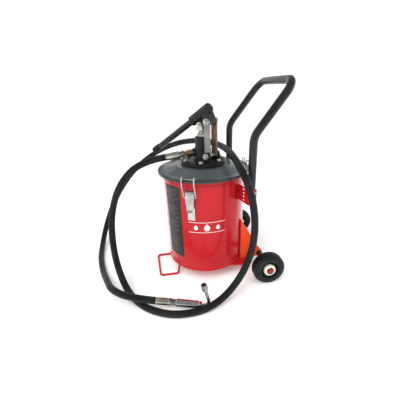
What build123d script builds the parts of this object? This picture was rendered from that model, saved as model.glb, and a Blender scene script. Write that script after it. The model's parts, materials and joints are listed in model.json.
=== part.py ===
"""Hand-lever gear oil pump: a latched drum on a two-wheeled trolley, with hose and dispensing valve.

Millimetres, +Z up, standing on Z = 0.  +Y is the rear (wheels and handle), -Y the front (foot).
The origin is on the floor, midway between the front of the foot and the back of the handle.
"""
import os
from math import cos, hypot, pi, radians, sin, tan

from build123d import *

os.makedirs("parts", exist_ok=True)

# ---------------------------------------------------------------- driving dimensions
FLOOR = 0.0

DRUM_R = 138.5
DRUM_WALL = 1.5
DRUM_BOTTOM = 42.0
DRUM_TOP = 372.0
DRUM_FLANGE_R = 149.0

LID_R = 155.0
LID_SHEET = 2.0
LID_RIM_Z = 374.0
LID_TOP_Z = 388.0
GASKET_T = LID_RIM_Z - DRUM_TOP

HANDLE_TUBE_R = 12.0
HANDLE_BORE_R = 10.2
HANDLE_HALF = 136.6
HANDLE_TOP_HALF = 131.8
HANDLE_LOW_Z = 285.0
HANDLE_BEND_Z = 491.6
HANDLE_TOP_Z = 637.0
HANDLE_BACK = 127.0
HANDLE_REACH = 240.9

FOOT_WIRE_R = 4.0
FOOT_REACH = 190.0
FOOT_LEFT = -50.0
FOOT_RIGHT = 80.0

WHEEL_R = 54.6
WHEEL_WIDTH = 40.0
WHEEL_X = 176.0
WHEEL_BACK = 185.0
AXLE_R = 7.0
RUNNING_FIT = 0.05

PUMP_FLANGE_R = 75.0
PUMP_FLANGE_T = 14.0
BODY_R = 28.0
NECK_R = 24.5
NECK_TOP_Z = 478.0
GLAND_TOP_Z = 497.0
ROD_R = 7.0
BARREL_R = 19.0
BARREL_BORE_R = 16.0
BARREL_LOW_Z = 92.0

LEVER_AZIMUTH = 225.0
LEVER_SLOPE = 31.6
LEVER_RISE_AT_AXIS = 547.6
LEVER_TUBE_R = 10.6
SOCKET_R = 16.5
PLUNGER_PIN_Z = 514.0
PLUNGER_PIN_R = 5.0
LINK_PIN_R = 6.0
LINK_S = -34.0
LINK_TOP_Z = 527.0
LINK_LOW_Z = 420.0
LUG_S = -35.2
LINK_WIDTH = 22.0
LINK_T = 4.5
LINK_INNER = 18.0
OPEN_PIVOT_GAP = 1.5

OUTLET_Z = 429.0
OUTLET_DROP = 6.0
HOSE_R = 11.0

LATCH_AZIMUTHS = {"a": -26.5, "b": 93.5, "c": 213.5}
LATCH_PIN_Z = 334.0
LATCH_PIN_RADIUS = 147.0
LATCH_PIN_R = 2.0
BAIL_WIRE_R = 2.2
BAIL_PIVOT_Z = 320.0
BAIL_HALF = 19.5
BAIL_TOP_Z = 387.0
BAIL_BEND_R = 3.0

# The box of the object is centred on Y = 0, which puts the drum axis a little to the front.
DRUM_Y = -((HANDLE_REACH + HANDLE_TUBE_R) - (FOOT_REACH + FOOT_WIRE_R)) / 2
DRUM_AXIS = Axis((0, DRUM_Y, 0), (0, 0, 1))
AXLE_Y = DRUM_Y + WHEEL_BACK
AXLE = Axis((0, AXLE_Y, WHEEL_R), (1, 0, 0))


# ---------------------------------------------------------------- frames and helpers
def level(z):
    """Horizontal plane at height z, centred on the drum axis."""
    return Plane((0, DRUM_Y, z))


def section(azimuth=0.0):
    """Vertical plane through the drum axis: local x is the radius, local y is the height."""
    turn = radians(azimuth)
    return Plane((0, DRUM_Y, 0), x_dir=(cos(turn), sin(turn), 0), z_dir=(sin(turn), -cos(turn), 0))


def outward(azimuth, radius, z):
    """Plane facing away from the drum axis, with local x along the rim and local y up."""
    turn = radians(azimuth)
    origin = (radius * cos(turn), DRUM_Y + radius * sin(turn), z)
    return Plane(origin, x_dir=(-sin(turn), cos(turn), 0), z_dir=(cos(turn), sin(turn), 0))


def save(builder, name):
    """Label the finished piece and write its STEP file."""
    builder.part.label = name
    export_step(builder.part, f"parts/{name}.step")


def flange_bolt_places():
    """The six bolts round the pump flange, one of them behind the link lug."""
    return PolarLocations(62, 6, start_angle=LEVER_AZIMUTH - 180)


LEVER_PLANE = section(LEVER_AZIMUTH)
LEVER_DIR = (cos(radians(LEVER_SLOPE)), -sin(radians(LEVER_SLOPE)))


def lever_point(distance, across=0.0):
    """Point in the lever's plane, at a distance along the lever's centreline from the pump axis."""
    return (
        distance * LEVER_DIR[0] - across * LEVER_DIR[1],
        LEVER_RISE_AT_AXIS + distance * LEVER_DIR[1] + across * LEVER_DIR[0],
    )


def along_lever(distance):
    """Plane square to the lever's centreline."""
    x, z = lever_point(distance)
    origin = LEVER_PLANE.from_local_coords((x, z, 0))
    ahead = LEVER_PLANE.from_local_coords(lever_point(distance + 1) + (0,)) - origin
    return Plane(origin, x_dir=LEVER_PLANE.z_dir, z_dir=ahead)


# ---------------------------------------------------------------- drum and lid
with BuildPart() as drum:
    with BuildSketch(section()):
        with BuildLine():
            Polyline(
                (0, DRUM_BOTTOM),
                (DRUM_R + 1.5, DRUM_BOTTOM),
                (DRUM_R + 1.5, DRUM_BOTTOM + 6),
                (DRUM_R, DRUM_BOTTOM + 8),
                (DRUM_R, DRUM_TOP - 2),
                (DRUM_FLANGE_R, DRUM_TOP - 2),
                (DRUM_FLANGE_R, DRUM_TOP),
                (DRUM_R - DRUM_WALL, DRUM_TOP),
                (DRUM_R - DRUM_WALL, DRUM_BOTTOM + 2),
                (0, DRUM_BOTTOM + 2),
                close=True,
            )
        make_face()
    revolve(axis=DRUM_AXIS)
save(drum, "drum")

with BuildPart() as lid_gasket:
    with BuildSketch(level(DRUM_TOP)):
        Circle(DRUM_FLANGE_R - 1)
        Circle(DRUM_R - DRUM_WALL + 1, mode=Mode.SUBTRACT)
    extrude(amount=GASKET_T)
save(lid_gasket, "lid_gasket")

CONE_FOOT_R = 127.0
CONE_HEAD_R = 92.0
LID_HOLE_R = 24.0
with BuildPart() as lid:
    with BuildSketch(section()):
        with BuildLine():
            Polyline(
                (LID_HOLE_R, LID_TOP_Z),
                (CONE_HEAD_R, LID_TOP_Z),
                (CONE_FOOT_R + 4, LID_RIM_Z),
                (LID_R - LID_SHEET, LID_RIM_Z),
                (LID_R - LID_SHEET, LID_RIM_Z - 6),
                (LID_R, LID_RIM_Z - 6),
                (LID_R, LID_RIM_Z + LID_SHEET - 0.6),
                (LID_R - 0.6, LID_RIM_Z + LID_SHEET),
                (CONE_FOOT_R + 5, LID_RIM_Z + LID_SHEET),
                (CONE_HEAD_R + 0.7, LID_TOP_Z + LID_SHEET),
                (LID_HOLE_R, LID_TOP_Z + LID_SHEET),
                close=True,
            )
        make_face()
    revolve(axis=DRUM_AXIS)
    with BuildSketch(level(LID_TOP_Z)):
        with flange_bolt_places():
            Circle(4.5)
    extrude(amount=LID_SHEET, mode=Mode.SUBTRACT)
save(lid, "lid")

# ---------------------------------------------------------------- pump head
FLANGE_Z = LID_TOP_Z + LID_SHEET
FLANGE_TOP_Z = FLANGE_Z + PUMP_FLANGE_T
EAR_T = 6.0
EAR_INNER = LINK_INNER + LINK_T + 0.6
EAR_R = 13.0
OUTLET_DIR = (0, -cos(radians(OUTLET_DROP)), -sin(radians(OUTLET_DROP)))
OUTLET_START = (0, DRUM_Y - 20, OUTLET_Z)
BOSS_END = 14.0


def outlet_plane(distance):
    """Plane square to the outlet, at a distance from its start inside the pump body."""
    origin = tuple(start + distance * step for start, step in zip(OUTLET_START, OUTLET_DIR))
    return Plane(origin, x_dir=(1, 0, 0), z_dir=OUTLET_DIR)


with BuildPart() as pump_body:
    with BuildSketch(section()):
        with BuildLine():
            Polyline(
                (BARREL_R, FLANGE_Z),
                (PUMP_FLANGE_R - 2, FLANGE_Z),
                (PUMP_FLANGE_R, FLANGE_Z + 2),
                (PUMP_FLANGE_R, FLANGE_TOP_Z - 4),
                (PUMP_FLANGE_R - 4, FLANGE_TOP_Z),
                (BODY_R + 6, FLANGE_TOP_Z),
                (BODY_R, FLANGE_TOP_Z + 6),
                (BODY_R, FLANGE_TOP_Z + 34),
                (NECK_R, FLANGE_TOP_Z + 46),
                (NECK_R, NECK_TOP_Z),
                (ROD_R + 5, NECK_TOP_Z),
                (ROD_R + 5, NECK_TOP_Z - 22),
                (ROD_R + RUNNING_FIT, NECK_TOP_Z - 22),
                (ROD_R + RUNNING_FIT, FLANGE_TOP_Z + 40),
                (BARREL_BORE_R, FLANGE_TOP_Z + 34),
                (BARREL_BORE_R, FLANGE_TOP_Z),
                (BARREL_R, FLANGE_TOP_Z),
                close=True,
            )
        make_face()
    revolve(axis=DRUM_AXIS)
    with BuildSketch(outlet_plane(0)):
        Circle(13)
    extrude(amount=BOSS_END)
    with BuildSketch(level(0)):
        Circle(BARREL_BORE_R)
    extrude(amount=FLANGE_TOP_Z + 34, mode=Mode.SUBTRACT)
    with BuildSketch(outlet_plane(-12)):
        Circle(5)
    extrude(amount=BOSS_END + 12, mode=Mode.SUBTRACT)
    for side in (-1, 1):
        offset_in = EAR_INNER if side > 0 else -EAR_INNER - EAR_T
        with BuildSketch(LEVER_PLANE.offset(offset_in)):
            with Locations((LUG_S, LINK_LOW_Z)):
                Circle(EAR_R)
            with Locations((LUG_S, (FLANGE_TOP_Z + LINK_LOW_Z) / 2 - 1)):
                Rectangle(2 * EAR_R, LINK_LOW_Z - FLANGE_TOP_Z + 2)
            with Locations((LUG_S, LINK_LOW_Z)):
                Circle(LINK_PIN_R, mode=Mode.SUBTRACT)
        extrude(amount=EAR_T)
    chamfer(pump_body.faces().sort_by(Axis.Z)[-1].edges().sort_by(SortBy.RADIUS)[-1:], 1.2)
    with BuildSketch(level(FLANGE_Z)):
        with flange_bolt_places():
            Circle(4.5)
    extrude(amount=PUMP_FLANGE_T, mode=Mode.SUBTRACT)
save(pump_body, "pump_body")

with BuildPart() as flange_bolts:
    with BuildSketch(level(FLANGE_TOP_Z)):
        with flange_bolt_places():
            Circle(8.5)
    extrude(amount=1.6)
    with BuildSketch(level(FLANGE_TOP_Z + 1.6)):
        with flange_bolt_places():
            RegularPolygon(6.5, 6, major_radius=False)
    extrude(amount=5.3)
    with BuildSketch(level(FLANGE_Z - 10)):
        with flange_bolt_places():
            Circle(4)
    extrude(amount=10 + PUMP_FLANGE_T + 1.6)
    with BuildSketch(level(LID_TOP_Z)):
        with flange_bolt_places():
            RegularPolygon(6.5, 6, major_radius=False)
    extrude(amount=-6)
save(flange_bolts, "flange_bolts")

with BuildPart() as gland_nut:
    with BuildSketch(level(NECK_TOP_Z)):
        RegularPolygon(14.5, 6, major_radius=False)
    extrude(amount=GLAND_TOP_Z - NECK_TOP_Z - 7)
    with BuildSketch(level(GLAND_TOP_Z - 7)):
        Circle(11.5)
    extrude(amount=7)
    chamfer(gland_nut.faces().sort_by(Axis.Z)[-1].outer_wire().edges(), 1.5)
    with BuildSketch(level(NECK_TOP_Z - 8)):
        Circle(ROD_R + 5)
    extrude(amount=8)
    with BuildSketch(level(NECK_TOP_Z - 8)):
        Circle(ROD_R + RUNNING_FIT)
    extrude(amount=GLAND_TOP_Z - NECK_TOP_Z + 8, mode=Mode.SUBTRACT)
save(gland_nut, "gland_nut")

with BuildPart() as gland_packing:
    with BuildSketch(level(NECK_TOP_Z - 22)):
        Circle(ROD_R + 5)
        Circle(ROD_R + RUNNING_FIT, mode=Mode.SUBTRACT)
    extrude(amount=14)
save(gland_packing, "gland_packing")

with BuildPart() as barrel:
    with BuildSketch(level(BARREL_LOW_Z)):
        Circle(BARREL_R)
        Circle(BARREL_BORE_R, mode=Mode.SUBTRACT)
    extrude(amount=FLANGE_TOP_Z - BARREL_LOW_Z)
save(barrel, "barrel")

# The foot valve: a ball that lifts off its seat below the piston, with a strainer under it.
SEAT_Z = BARREL_LOW_Z - 12
BALL_R = 9.0
SEAT_BORE_R = 6.5
BALL_REST_Z = SEAT_Z + (BALL_R**2 - SEAT_BORE_R**2) ** 0.5 + 0.1
BALL_LIFT = 3.0
with BuildPart() as foot_valve:
    with BuildSketch(section()):
        with BuildLine():
            Polyline(
                (SEAT_BORE_R, SEAT_Z - 10),
                (BARREL_R + 4, SEAT_Z - 10),
                (BARREL_R + 4, BARREL_LOW_Z + 14),
                (BARREL_R, BARREL_LOW_Z + 14),
                (BARREL_R, BARREL_LOW_Z),
                (BARREL_BORE_R - 3, BARREL_LOW_Z),
                (BARREL_BORE_R - 3, SEAT_Z),
                (SEAT_BORE_R, SEAT_Z),
                close=True,
            )
        make_face()
    revolve(axis=DRUM_AXIS)
    with BuildSketch(level(BALL_REST_Z + BALL_R + BALL_LIFT + 0.3)):
        Rectangle(2 * BARREL_BORE_R, 3)
        Rectangle(3, 2 * BARREL_BORE_R)
        Circle(BARREL_BORE_R, mode=Mode.INTERSECT)
    extrude(amount=3)
save(foot_valve, "foot_valve")

with BuildPart() as foot_ball:
    with Locations((0, DRUM_Y, BALL_REST_Z)):
        Sphere(BALL_R)
save(foot_ball, "foot_ball")

STRAINER_LOW_Z = DRUM_BOTTOM + 6
with BuildPart() as strainer:
    with BuildSketch(level(STRAINER_LOW_Z)):
        Circle(BARREL_R + 2)
        Circle(BARREL_R + 1, mode=Mode.SUBTRACT)
    extrude(amount=SEAT_Z - 10 - STRAINER_LOW_Z)
    with BuildSketch(level(STRAINER_LOW_Z)):
        Circle(BARREL_R + 1)
    extrude(amount=1)
    for row in range(2):
        with BuildSketch(Plane.XZ.offset(-DRUM_Y)):
            with Locations((0, STRAINER_LOW_Z + 7 + 8 * row)):
                Circle(2.2)
        extrude(amount=BARREL_R + 10, both=True, mode=Mode.SUBTRACT)
        with BuildSketch(Plane.YZ):
            with Locations((DRUM_Y, STRAINER_LOW_Z + 7 + 8 * row)):
                Circle(2.2)
        extrude(amount=BARREL_R + 10, both=True, mode=Mode.SUBTRACT)
save(strainer, "strainer")

# ---------------------------------------------------------------- plunger
PISTON_LOW_Z = 128.0
CLEVIS_LOW_Z = GLAND_TOP_Z + 2
CLEVIS_R = 10.5
TONGUE_HALF = 6.0
CHEEK_OUTER = 16.5
PIN_HEAD_T = 5.0

with BuildPart() as plunger_rod:
    with BuildSketch(level(PISTON_LOW_Z - 6)):
        Circle(ROD_R - 2)
    extrude(amount=36)
    with BuildSketch(level(PISTON_LOW_Z + 24)):
        Circle(ROD_R)
    extrude(amount=CLEVIS_LOW_Z - PISTON_LOW_Z - 24)
save(plunger_rod, "plunger_rod")

with BuildPart() as rod_clevis:
    for side in (-1, 1):
        offset_in = TONGUE_HALF + 0.4 if side > 0 else -CHEEK_OUTER
        with BuildSketch(LEVER_PLANE.offset(offset_in)):
            with Locations((0, PLUNGER_PIN_Z)):
                Circle(CLEVIS_R)
            with Locations((0, (CLEVIS_LOW_Z + PLUNGER_PIN_Z) / 2)):
                Rectangle(2 * CLEVIS_R, PLUNGER_PIN_Z - CLEVIS_LOW_Z)
            with Locations((0, PLUNGER_PIN_Z)):
                Circle(PLUNGER_PIN_R, mode=Mode.SUBTRACT)
        extrude(amount=CHEEK_OUTER - TONGUE_HALF - 0.4)
    with BuildSketch(level(CLEVIS_LOW_Z)):
        Circle(CHEEK_OUTER)
    extrude(amount=4)
save(rod_clevis, "rod_clevis")

with BuildPart() as plunger_pin:
    with BuildSketch(LEVER_PLANE.offset(-CHEEK_OUTER)):
        with Locations((0, PLUNGER_PIN_Z)):
            Circle(PLUNGER_PIN_R)
    extrude(amount=2 * CHEEK_OUTER + 4)
    with BuildSketch(LEVER_PLANE.offset(-CHEEK_OUTER)):
        with Locations((0, PLUNGER_PIN_Z)):
            Circle(8)
    extrude(amount=-PIN_HEAD_T)
    with BuildSketch(LEVER_PLANE.offset(CHEEK_OUTER)):
        with Locations((0, PLUNGER_PIN_Z)):
            Circle(7.5)
    extrude(amount=2.5)
save(plunger_pin, "plunger_pin")

with BuildPart() as piston:
    with BuildSketch(section()):
        with BuildLine():
            Polyline(
                (ROD_R - 2, PISTON_LOW_Z),
                (BARREL_BORE_R - RUNNING_FIT, PISTON_LOW_Z),
                (BARREL_BORE_R - RUNNING_FIT, PISTON_LOW_Z + 8),
                (BARREL_BORE_R - 3, PISTON_LOW_Z + 8),
                (BARREL_BORE_R - 3, PISTON_LOW_Z + 16),
                (BARREL_BORE_R - RUNNING_FIT, PISTON_LOW_Z + 16),
                (BARREL_BORE_R - RUNNING_FIT, PISTON_LOW_Z + 24),
                (ROD_R - 2, PISTON_LOW_Z + 24),
                close=True,
            )
        make_face()
    revolve(axis=DRUM_AXIS)
save(piston, "piston")

with BuildPart() as piston_seal:
    with BuildSketch(level(PISTON_LOW_Z + 8)):
        Circle(BARREL_BORE_R - RUNNING_FIT)
        Circle(BARREL_BORE_R - 3, mode=Mode.SUBTRACT)
    extrude(amount=8)
save(piston_seal, "piston_seal")

# ---------------------------------------------------------------- lever
SOCKET_START = -42.0
SOCKET_END = 47.0
SOCKET_ROUNDING = 9.5
TUBE_START = 2.0
GRIP_START = 232.0
GRIP_END = 266.0
LEG_HALF = LINK_INNER - 0.6
LEG_R = 11.0

with BuildPart() as lever_head:
    with BuildSketch(along_lever(SOCKET_START)):
        Circle(SOCKET_R)
    extrude(amount=SOCKET_END - SOCKET_START)
    socket_rims = lever_head.edges().filter_by(GeomType.CIRCLE).sort_by(Axis.Z)
    chamfer(socket_rims[0], 2)
    fillet(socket_rims[-1], SOCKET_ROUNDING)
    with BuildSketch(LEVER_PLANE.offset(-LEG_HALF)):
        with BuildLine():
            Polyline(
                (LINK_S - LEG_R, LINK_TOP_Z),
                lever_point(SOCKET_START + SOCKET_ROUNDING, -6),
                lever_point(-8, -SOCKET_R + 5),
                (LINK_S + LEG_R, LINK_TOP_Z),
                close=True,
            )
        make_face()
        with Locations((LINK_S, LINK_TOP_Z)):
            Circle(LEG_R)
        with Locations((LINK_S, LINK_TOP_Z)):
            Circle(LINK_PIN_R + RUNNING_FIT, mode=Mode.SUBTRACT)
    extrude(amount=2 * LEG_HALF)
    with BuildSketch(LEVER_PLANE.offset(-TONGUE_HALF)):
        with BuildLine():
            Polyline(
                (-10, PLUNGER_PIN_Z),
                lever_point(-18, -SOCKET_R + 6),
                lever_point(18, -SOCKET_R + 6),
                (10, PLUNGER_PIN_Z),
                close=True,
            )
        make_face()
        with Locations((0, PLUNGER_PIN_Z)):
            Circle(10)
        with Locations((0, PLUNGER_PIN_Z)):
            Circle(PLUNGER_PIN_R + RUNNING_FIT, mode=Mode.SUBTRACT)
    extrude(amount=2 * TONGUE_HALF)
    with BuildSketch(along_lever(TUBE_START)):
        Circle(LEVER_TUBE_R)
    extrude(amount=SOCKET_END - TUBE_START, mode=Mode.SUBTRACT)
save(lever_head, "lever_head")

with BuildPart() as lever_tube:
    with BuildSketch(along_lever(TUBE_START)):
        Circle(LEVER_TUBE_R)
        Circle(LEVER_TUBE_R - 2.5, mode=Mode.SUBTRACT)
    extrude(amount=GRIP_END - 3 - TUBE_START)
save(lever_tube, "lever_tube")

with BuildPart() as lever_grip:
    with BuildSketch(along_lever(GRIP_START)):
        Circle(LEVER_TUBE_R + 2)
    extrude(amount=GRIP_END - GRIP_START)
    fillet(lever_grip.edges().filter_by(GeomType.CIRCLE), 1.6)
    with BuildSketch(along_lever(GRIP_START)):
        Circle(LEVER_TUBE_R)
    extrude(amount=GRIP_END - 3 - GRIP_START, mode=Mode.SUBTRACT)
save(lever_grip, "lever_grip")

# ---------------------------------------------------------------- link
HEAD_T = 7.0
LINK_OUTER = LINK_INNER + LINK_T


def link_plate(offset_in):
    """One of the two flat plates that tie the lever to the lug; its low hole has clearance."""
    with BuildPart() as plate:
        with BuildSketch(LEVER_PLANE.offset(offset_in)):
            with Locations((LINK_S, (LINK_TOP_Z + LINK_LOW_Z) / 2)):
                SlotCenterToCenter(LINK_TOP_Z - LINK_LOW_Z, LINK_WIDTH, rotation=90)
            with Locations((LINK_S, LINK_TOP_Z)):
                Circle(LINK_PIN_R, mode=Mode.SUBTRACT)
            with Locations((LINK_S, LINK_LOW_Z)):
                Circle(LINK_PIN_R + OPEN_PIVOT_GAP, mode=Mode.SUBTRACT)
        extrude(amount=LINK_T)
        flats = plate.faces().sort_by(Axis((0, DRUM_Y, 0), LEVER_PLANE.z_dir))
        chamfer(flats[0].outer_wire().edges() + flats[-1].outer_wire().edges(), 0.6)
    return plate


def cross_bolt(place, inner, shank_r, across_flats):
    """Bolt through the lever's plane: head on the near side, nut and thread end on the far side."""
    with BuildPart() as bolt:
        with BuildSketch(LEVER_PLANE.offset(-inner - HEAD_T)):
            with Locations(place):
                Circle(shank_r)
        extrude(amount=2 * inner + 2 * HEAD_T + 4)
        for offset_in in (-inner - HEAD_T, inner):
            with BuildSketch(LEVER_PLANE.offset(offset_in)):
                with Locations(place):
                    RegularPolygon(across_flats / 2, 6, major_radius=False)
            extrude(amount=HEAD_T)
    return bolt


link_plate_near = link_plate(-LINK_OUTER)
save(link_plate_near, "link_plate_near")
link_plate_far = link_plate(LINK_INNER)
save(link_plate_far, "link_plate_far")
link_top_bolt = cross_bolt((LINK_S, LINK_TOP_Z), LINK_OUTER, LINK_PIN_R, 19)
save(link_top_bolt, "link_top_bolt")
link_low_bolt = cross_bolt((LUG_S, LINK_LOW_Z), EAR_INNER + EAR_T, LINK_PIN_R, 19)
save(link_low_bolt, "link_low_bolt")

# ---------------------------------------------------------------- outlet and hose
ADAPTER_END = 42.0
SWIVEL_END = 58.0
FERRULE_END = 106.0
OUTLET_BORE_R = 5.0


def outlet_step(shape_r, start, end, sides=0):
    """Add one length of an outlet fitting, round or hexagonal, to the open part."""
    with BuildSketch(outlet_plane(start)) as outline:
        if sides:
            RegularPolygon(shape_r, sides, major_radius=False)
        else:
            Circle(shape_r)
    extrude(outline.sketch, amount=end - start)


def outlet_bore(radius, start, end):
    """Cut a bore along the outlet in the open part."""
    with BuildSketch(outlet_plane(start)) as outline:
        Circle(radius)
    extrude(outline.sketch, amount=end - start, mode=Mode.SUBTRACT)


with BuildPart() as outlet_adapter:
    outlet_step(11, BOSS_END, ADAPTER_END - 6, sides=6)
    outlet_step(8.5, ADAPTER_END - 6, ADAPTER_END)
    outlet_bore(OUTLET_BORE_R, BOSS_END, ADAPTER_END)
save(outlet_adapter, "outlet_adapter")

with BuildPart() as swivel_nut:
    outlet_step(12, ADAPTER_END, SWIVEL_END - 7, sides=6)
    outlet_step(10, SWIVEL_END - 7, SWIVEL_END)
    outlet_bore(OUTLET_BORE_R, ADAPTER_END, SWIVEL_END)
save(swivel_nut, "swivel_nut")

with BuildPart() as ferrule_pump:
    outlet_step(HOSE_R + 0.9, SWIVEL_END, FERRULE_END)
    outlet_bore(OUTLET_BORE_R, SWIVEL_END, FERRULE_END)
save(ferrule_pump, "ferrule_pump")

# The hose leaves the outlet, loops to the floor, climbs over the lid behind the pump, comes down
# on the far side and runs along the floor again, over its own first strand, to the valve.
OUTLET_FACE = outlet_plane(FERRULE_END).origin
HOSE_ROUTE = [
    (0, -154.9, 417.9),
    (0, -238.4, 409.1),
    (0, -316, 339),
    (10, -357, 240),
    (42, -366, 140),
    (100, -350, 58),
    (176, -311, 11),
    (247, -250, 11),
    (286, -164, 11),
    (275, -57, 11),
    (229, 34, 54),
    (209, 84, 148),
    (204, 92, 252),
    (190, 76, 356),
    (118, 56, 417),
    (4, 55, 432),
    (-108, 29, 435),
    (-210, -22, 428),
    (-285, -98, 408),
    (-328, -189, 366),
    (-340, -282, 302),
    (-327, -358, 221),
    (-293, -414, 136),
    (-240, -446, 62),
    (-162, -457, 14),
    (-70, -448, 11),
    (22, -424, 11),
    (103, -393, 28),
    (171, -367, 44),
    (220.1, -306.1, 45.8),
    (233.7, -228.3, 33.4),
]


def corner_radii(route):
    """Largest arc at each corner of a route that its two runs leave room for."""
    points = [Vector(*point) for point in route]
    radii = []
    for before, corner, after in zip(points, points[1:], points[2:]):
        turn = radians((corner - before).get_angle(after - corner))
        shorter = min((corner - before).length, (after - corner).length)
        radii.append(0.45 * shorter / tan(turn / 2))
    return radii


hose_radii = corner_radii(HOSE_ROUTE)
with BuildPart() as hose:
    with BuildLine():
        hose_line = FilletPolyline(*HOSE_ROUTE, radius=hose_radii)
    with BuildSketch(Plane(HOSE_ROUTE[0], z_dir=hose_line % 0)):
        Circle(HOSE_R)
    sweep(path=hose_line)
save(hose, "hose")
hose_length = hose_line.length
print("hose radii", [round(radius) for radius in hose_radii])
print("hose length", round(hose_length, 1), "volume ratio",
      round(hose.part.volume / (pi * HOSE_R**2 * hose_length), 4))
print("hose starts", HOSE_ROUTE[0], "outlet face", OUTLET_FACE)

# ---------------------------------------------------------------- dispensing valve
NOZZLE_START = Vector(*HOSE_ROUTE[-1])
NOZZLE_DIR = (NOZZLE_START - Vector(*HOSE_ROUTE[-2])).normalized()
FERRULE_L = 45.0
NUTS_L = 13.0
VALVE_L = 85.0
VALVE_R = 13.0
VALVE_START = FERRULE_L + NUTS_L
VALVE_END = VALVE_START + VALVE_L
SPOUT_R = 5.0


def nozzle_plane(distance):
    """Plane square to the dispensing valve, at a distance from the end of the hose."""
    return Plane(NOZZLE_START + NOZZLE_DIR * distance, x_dir=(1, 0, 0), z_dir=NOZZLE_DIR)


def nozzle_step(radius, start, end, sides=0):
    """Add one round or hexagonal length of the dispensing end to the open part."""
    with BuildSketch(nozzle_plane(start)) as outline:
        if sides:
            RegularPolygon(radius, sides, major_radius=False)
        else:
            Circle(radius)
    extrude(outline.sketch, amount=end - start)


with BuildPart() as ferrule_valve:
    nozzle_step(HOSE_R + 0.9, 0, FERRULE_L)
save(ferrule_valve, "ferrule_valve")

with BuildPart() as valve_nuts:
    nozzle_step(11, FERRULE_L, FERRULE_L + 6, sides=6)
    nozzle_step(8, FERRULE_L + 6, FERRULE_L + 8)
    nozzle_step(10, FERRULE_L + 8, VALVE_START, sides=6)
save(valve_nuts, "valve_nuts")

with BuildPart() as valve_body:
    nozzle_step(VALVE_R - 1.5, VALVE_START, VALVE_START + 6)
    nozzle_step(VALVE_R, VALVE_START + 6, VALVE_END - 12)
    nozzle_step(VALVE_R - 2, VALVE_END - 12, VALVE_END)
save(valve_body, "valve_body")

SPOUT_START = NOZZLE_START + NOZZLE_DIR * VALVE_END
SPOUT_BEND = SPOUT_START + Vector(-0.8, 24, 3.7)
SPOUT_TOP = SPOUT_BEND + Vector(-2.2, -10.9, 51)
with BuildPart() as spout:
    with BuildLine():
        spout_line = FilletPolyline(
            SPOUT_START, SPOUT_START + NOZZLE_DIR * 8, SPOUT_BEND, SPOUT_TOP, radius=[14, 12]
        )
    with BuildSketch(Plane(spout_line @ 0, z_dir=spout_line % 0)):
        Circle(SPOUT_R)
    sweep(path=spout_line)
save(spout, "spout")

TIP_HEX_L = 12.0
TIP_L = 22.0
TIP_BORE_R = 5.5
TIP_BORE_L = 14.0
tip_plane = Plane(SPOUT_TOP, x_dir=(1, 0, 0), z_dir=spout_line % 1)
with BuildPart() as spout_tip:
    with BuildSketch(tip_plane):
        RegularPolygon(8.5, 6, major_radius=False)
    extrude(amount=TIP_HEX_L)
    with BuildSketch(tip_plane.offset(TIP_HEX_L)):
        Circle(9.5)
    extrude(amount=TIP_L - TIP_HEX_L)
    with BuildSketch(tip_plane.offset(TIP_L - TIP_BORE_L)):
        Circle(TIP_BORE_R)
    extrude(amount=TIP_BORE_L, mode=Mode.SUBTRACT)
save(spout_tip, "spout_tip")
print("spout tip face", tip_plane.offset(TIP_L).origin, "direction", tip_plane.z_dir)

# ---------------------------------------------------------------- handle and trolley
HANDLE_Y = DRUM_Y + HANDLE_BACK
HANDLE_ROUTE = [
    (HANDLE_HALF, HANDLE_Y, HANDLE_LOW_Z),
    (HANDLE_HALF, HANDLE_Y, HANDLE_BEND_Z),
    (HANDLE_TOP_HALF, DRUM_Y + HANDLE_REACH, HANDLE_TOP_Z),
    (-HANDLE_TOP_HALF, DRUM_Y + HANDLE_REACH, HANDLE_TOP_Z),
    (-HANDLE_HALF, HANDLE_Y, HANDLE_BEND_Z),
    (-HANDLE_HALF, HANDLE_Y, HANDLE_LOW_Z),
]
with BuildPart() as handle:
    with BuildLine():
        handle_line = FilletPolyline(*HANDLE_ROUTE, radius=[60, 45, 45, 60])
    with BuildSketch(Plane(HANDLE_ROUTE[0], z_dir=(0, 0, 1))):
        Circle(HANDLE_TUBE_R)
        Circle(HANDLE_BORE_R, mode=Mode.SUBTRACT)
    sweep(path=handle_line)
save(handle, "handle")

with BuildPart() as handle_plugs:
    with BuildSketch(Plane.XY.offset(HANDLE_LOW_Z)):
        with Locations((-HANDLE_HALF, HANDLE_Y), (HANDLE_HALF, HANDLE_Y)):
            Circle(HANDLE_BORE_R)
    extrude(amount=12)
    with BuildSketch(Plane.XY.offset(HANDLE_LOW_Z - 3)):
        with Locations((-HANDLE_HALF, HANDLE_Y), (HANDLE_HALF, HANDLE_Y)):
            Circle(HANDLE_TUBE_R)
    extrude(amount=3)
save(handle_plugs, "handle_plugs")

# Each upright is bolted to a folded sheet bracket that is welded to the side of the drum.
BRACKET_T = 3.0
BRACKET_LOW_Z = 284.0
BRACKET_TOP_Z = 336.0
BRACKET_WING_X = HANDLE_HALF + HANDLE_TUBE_R + BRACKET_T / 2
BRACKET_BOLT_Z = (298.0, 324.0)
BRACKET_ROOT = (95.95, 101.1)
BRACKET_FOLD_Y = 114.0
BRACKET_SLOT_X = 122.0


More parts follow.
